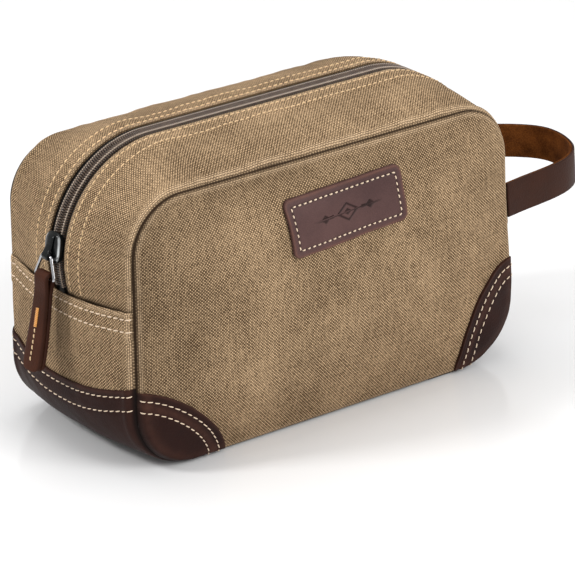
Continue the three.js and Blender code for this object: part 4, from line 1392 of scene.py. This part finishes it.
# The tab hangs from the ring's lower bar. It curls out by curl * (down / length)^2, and its sides cup inwards
# by cup * (across / half)^2.
def onTab(down, across, out):
    curl = tabLook["curl"] * (np.clip(down, 0, None) / tabLook["length"]) ** 2
    cup = tabLook["cup"] * (across / tabLook["footHalf"]) ** 2 * smooth(down / (20 * mm))
    return onPull(pullLength + down, across, out + curl - cup)


# One strip of leather: down the outside, over the ring's bar at the top and down the inside.
def makeTab():
    length, layer = tabLook["length"], tabLook["layer"]
    radius = tabLook["eye"] + layer / 2
    turn = np.linspace(0, math.pi, 15)[1:-1]
    downs = np.linspace(0, length, 70)
    closeTo = mix(radius, layer / 2 + 0.04 * mm, smooth(downs / (9 * mm)))
    path = np.concatenate([np.stack([downs[::-1], closeTo[::-1]], -1),
                           np.stack([-radius * np.sin(turn), radius * np.cos(turn)], -1),
                           np.stack([downs, -closeTo], -1)])
    half = mix(tabLook["topHalf"], tabLook["footHalf"], smooth(path[:, 0] / (length * 0.9)))
    end = np.clip(path[:, 0] - (length - tabLook["corner"]), 0, tabLook["corner"])
    half = half - (tabLook["corner"] - np.sqrt(tabLook["corner"] ** 2 - end ** 2)) * 0.8
    section = squareRing(1, 1, 7, 32)
    rim = np.exp(-((1 - np.abs(section[:, 0])) * tabLook["footHalf"] / (0.7 * mm)) ** 2)
    rim = np.broadcast_to(rim, (len(path), len(section)))
    marks = {"wear": 0.30 * rim, "shade": 0.45 * rim}
    piece = sweepBar("leather_tab", path, half, layer / 2, 7, onTab, marks, 32)
    place(piece, "tab", finish["strap"], ["pull_tab"])
    tack = {"pitch": 0.95 * mm, "width": 2.6 * mm, "height": 0.8 * mm, "fill": 1.3, "lean": 8}
    row = {"pitch": 3.0 * mm, "width": 0.95 * mm, "lean": 9}
    for way, word in ((1, "outer"), (-1, "inner")):
        for kind, span, thread, options in (("bar", "tack", "orange", tack), ("row", "row", "golden", row)):
            down = np.linspace(*tabLook[span], 60)
            path = onTab(down, 0 * down, way * (layer + 0.02 * mm) + 0 * down)
            normals = np.tile(onPull(0, 0, way) - onPull(0, 0, 0), (60, 1))
            made = makeStitches(f"tab_{kind}_{word}", path, normals, "tab", thread, **options)
            if (kind, word) == ("bar", "outer"):
                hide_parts("pull_tab_tack")


makeTab()
print("slider and pull made")


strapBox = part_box("wrist_strap")
strapLook = {
    "layer": 1.2 * mm,
    "low": strapBox[0].z, "high": strapBox[1].z,
    "tuck": 1.2 * mm,  # into the seam at each end
    "round": 0.4 * mm,
    "sag": 1.2 * mm,
}
strapRoute = np.array([
    (122, -51.5), (135, -49), (148, -47), (161, -44.5), (173, -40.5), (183, -34), (190, -25), (194.5, -13),
    (195.5, -3), (194, 4), (190, 10.5), (182, 18.5), (170, 27), (155, 35.5), (140, 43), (122, 51)]) * mm


# One layer of the strap: a rectangle with quarter-round corners carried along the route, which sags by half
# a sine wave.
def makeStrapLayer(name, inner, outer, material, nodes=()):
    look = strapLook
    route = smoothRoute(strapRoute, 170)
    route = np.vstack([route[:1] + unit(route[:1] - route[1:2]) * look["tuck"], route,
                       route[-1:] + unit(route[-1:] - route[-2:-1]) * look["tuck"]])
    ahead = unit(np.gradient(route, axis=0))
    out = np.stack([ahead[:, 1], -ahead[:, 0]], -1)
    section = []
    for acrossWay, upWay, begin in ((1, 1, 0), (-1, 1, 90), (-1, -1, 180), (1, -1, 270)):
        for degrees in np.linspace(begin, begin + 90, 5):
            a = math.radians(degrees)
            section.append((acrossWay, upWay, look["round"] * math.cos(a), look["round"] * math.sin(a)))
    section = np.array(section)
    thick, middle = (outer - inner) / 2, (outer + inner) / 2
    offset = middle + section[None, :, 0] * (thick - look["round"]) + section[None, :, 2]
    half, centre = (look["high"] - look["low"]) / 2, (look["high"] + look["low"]) / 2
    height = section[None, :, 1] * (half - look["round"]) + section[None, :, 3] + 0 * route[:, :1]
    sag = look["sag"] * np.sin(np.linspace(0, math.pi, len(route)))[:, None]
    points = np.stack([route[:, :1] + out[:, :1] * offset, route[:, 1:] + out[:, 1:] * offset,
                       centre + height - sag], -1)
    edge = np.exp(-((half - np.abs(height)) / (0.8 * mm)) ** 2)
    run = lengthAlong(route)[:, None]
    marks = {"wear": 0.35 * edge, "shade": 0.5 * edge}
    piece = closeEnds(makeGrid(name, points, np.stack([run + 0 * height, height], -1), marks, closed=True))
    place(piece, "shell", material, nodes)


makeStrapLayer("strap_outside", 0.05 * mm, strapLook["layer"], finish["strap"], ["wrist_strap"])
makeStrapLayer("strap_inside", -strapLook["layer"], 0.0, finish["suede"])
print("strap made")


liningLook = {
    "thickness": 0.5 * mm,
    "panelDrop": 2.6 * mm, "stripDrop": 3.4 * mm, "lowerDrop": 8.0 * mm,  # inwards from the canvas
    "panelInset": 6 * mm,
    "stripFrom": 16 * mm,  # beside the zip
    "lowerHalf": 48 * mm,
}


# Thickens and places one lining, hiding the nodes it stands for.
def finishLining(piece, body, nodes):
    thicken(piece, liningLook["thickness"])
    place(piece, body, finish["lining"], nodes)


# Each lining follows the canvas over it, moved inwards by its drop.
def makeLinings():
    look = liningLook
    for side, face in ((-1, "front"), (1, "back")):
        rings = [outline(160, inset) for inset in (look["panelInset"], *np.linspace(8 * mm, 30 * mm, 8))]
        flat = np.array(rings + towardsMiddle(rings[-1], 22))
        points = onPanel(side, flat[..., 0], flat[..., 1], -look["panelDrop"])
        piece = makeGrid(f"{face}_inner_lining", points, flat, closed=True, flip=side < 0, weld=True)
        finishLining(piece, f"{face}Bend", [f"{face}_lining_lower", f"{face}_lining_upper"])
        t = np.linspace(-trackHalf + 0.5 * mm, trackHalf - 0.5 * mm, 150)[:, None]
        y = np.linspace(look["stripFrom"], bag["halfDepth"] - 2.2 * mm, 12)[None]
        points = onTrack(t, y, -look["stripDrop"] + 0 * y) * (1, side, 1)
        piece = makeGrid(f"{face}_strip_lining", points, np.stack([t + 0 * y, y + 0 * t], -1), flip=side < 0)
        finishLining(piece, f"{face}_half", [f"{face}_zip_strip_lining"])
    along = np.linspace(-1, 1, 200) * alongTo(bag["fold"] - 1 * mm)
    y = np.linspace(-look["lowerHalf"], look["lowerHalf"], 24)[None]
    points = np.array([onLower(1.0 if a >= 0 else -1.0, abs(a), y[0], -look["lowerDrop"]) for a in along])
    uv = np.stack([along[:, None] + 0 * y, y + 0 * along[:, None]], -1)
    finishLining(makeGrid("lower_lining", points, uv), "shell", ["lower_gusset_lining"])


makeLinings()
print("linings made")


view = {
    "azimuth": -37.3, "elevation": 22.0, "roll": -0.9,
    "distance": 2.0517, "lens": 248.0,
    "aimRight": 13.2 * mm, "aimDown": 17.5 * mm, "height": 72.7 * mm,
}


# The camera stands on a sphere about a point over the bag's middle, turned by its roll, and aims a little to
# the right of that point and under it.
def makeCamera():
    az, el, roll = (math.radians(view[key]) for key in ("azimuth", "elevation", "roll"))
    back = Vector((math.sin(az) * math.cos(el), -math.cos(az) * math.cos(el), math.sin(el)))
    right = Vector((math.cos(az), math.sin(az), 0))
    up = back.cross(right)
    right, up = right * math.cos(roll) + up * math.sin(roll), up * math.cos(roll) - right * math.sin(roll)
    eye = Vector((0, 0, view["height"])) + back * view["distance"]
    target = Vector((0, 0, view["height"])) + right * view["aimRight"] - up * view["aimDown"]
    back = (eye - target).normalized()
    right = (right - back * right.dot(back)).normalized()
    up = back.cross(right)
    data = bpy.data.cameras.new("viewCamera")
    data.lens, data.sensor_width, data.clip_end = view["lens"], 36, 50
    camera = bpy.data.objects.new("viewCamera", data)
    camera.matrix_world = Matrix((
        (right.x, up.x, back.x, eye.x), (right.y, up.y, back.y, eye.y),
        (right.z, up.z, back.z, eye.z), (0, 0, 0, 1)))
    bpy.context.collection.objects.link(camera)
    bpy.context.scene.camera = camera


lightLook = {
    "key": {"from": (-1.3, 0.5, 1.2), "size": 0.3, "power": 14},
    "front": {"from": (0.6, -1.9, 1.3), "size": 1.2, "power": 36},
    "top": {"from": (0.1, 0.5, 2.0), "size": 1.4, "power": 14},
}
studioLook = {
    "aim": (0, 0, 0.07),
    "world": 0.67,
    "floorLow": (0.80, 0.80, 0.805, 1), "floorHigh": (0.83, 0.83, 0.83, 1),
    "floorRoughness": 0.14,
    "floorHalf": 6.0,
    "floorDrop": 0.2 * mm,
}


# Square lamps aimed at the bag, in an even white world.
def makeLights():
    for name, look in lightLook.items():
        data = bpy.data.lights.new(name, "AREA")
        data.size, data.energy = look["size"], look["power"]
        lamp = bpy.data.objects.new(name, data)
        lamp.location = look["from"]
        toBag = Vector(studioLook["aim"]) - Vector(look["from"])
        lamp.rotation_euler = toBag.to_track_quat("-Z", "Y").to_euler()
        bpy.context.collection.objects.link(lamp)
    world = bpy.data.worlds.new("studio")
    bpy.context.scene.world = world
    world.use_nodes = True
    background = world.node_tree.nodes["Background"]
    background.inputs[0].default_value = (1, 1, 1, 1)
    background.inputs[1].default_value = studioLook["world"]
    bpy.context.scene.view_settings.view_transform = "Standard"


# A flat floor just under the bag, whose grey slow noise moves between two values.
def makeFloor():
    made, tree, shader, where = startMaterial("paleFloor", roughness=studioLook["floorRoughness"])
    slow = noise(tree, where.outputs["Object"], 3.0, 2.0)
    colour = blendColour(tree, slow, studioLook["floorLow"], studioLook["floorHigh"])
    tree.links.new(colour, shader.inputs["Base Color"])
    x = np.linspace(-studioLook["floorHalf"], studioLook["floorHalf"], 5)
    points = np.stack(np.meshgrid(x, x, [-studioLook["floorDrop"]], indexing="ij"), -1)[:, :, 0]
    floor = makeGrid("floor", points)
    floor.data.materials.append(made)


makeCamera()
makeLights()
makeFloor()

print("scene made")
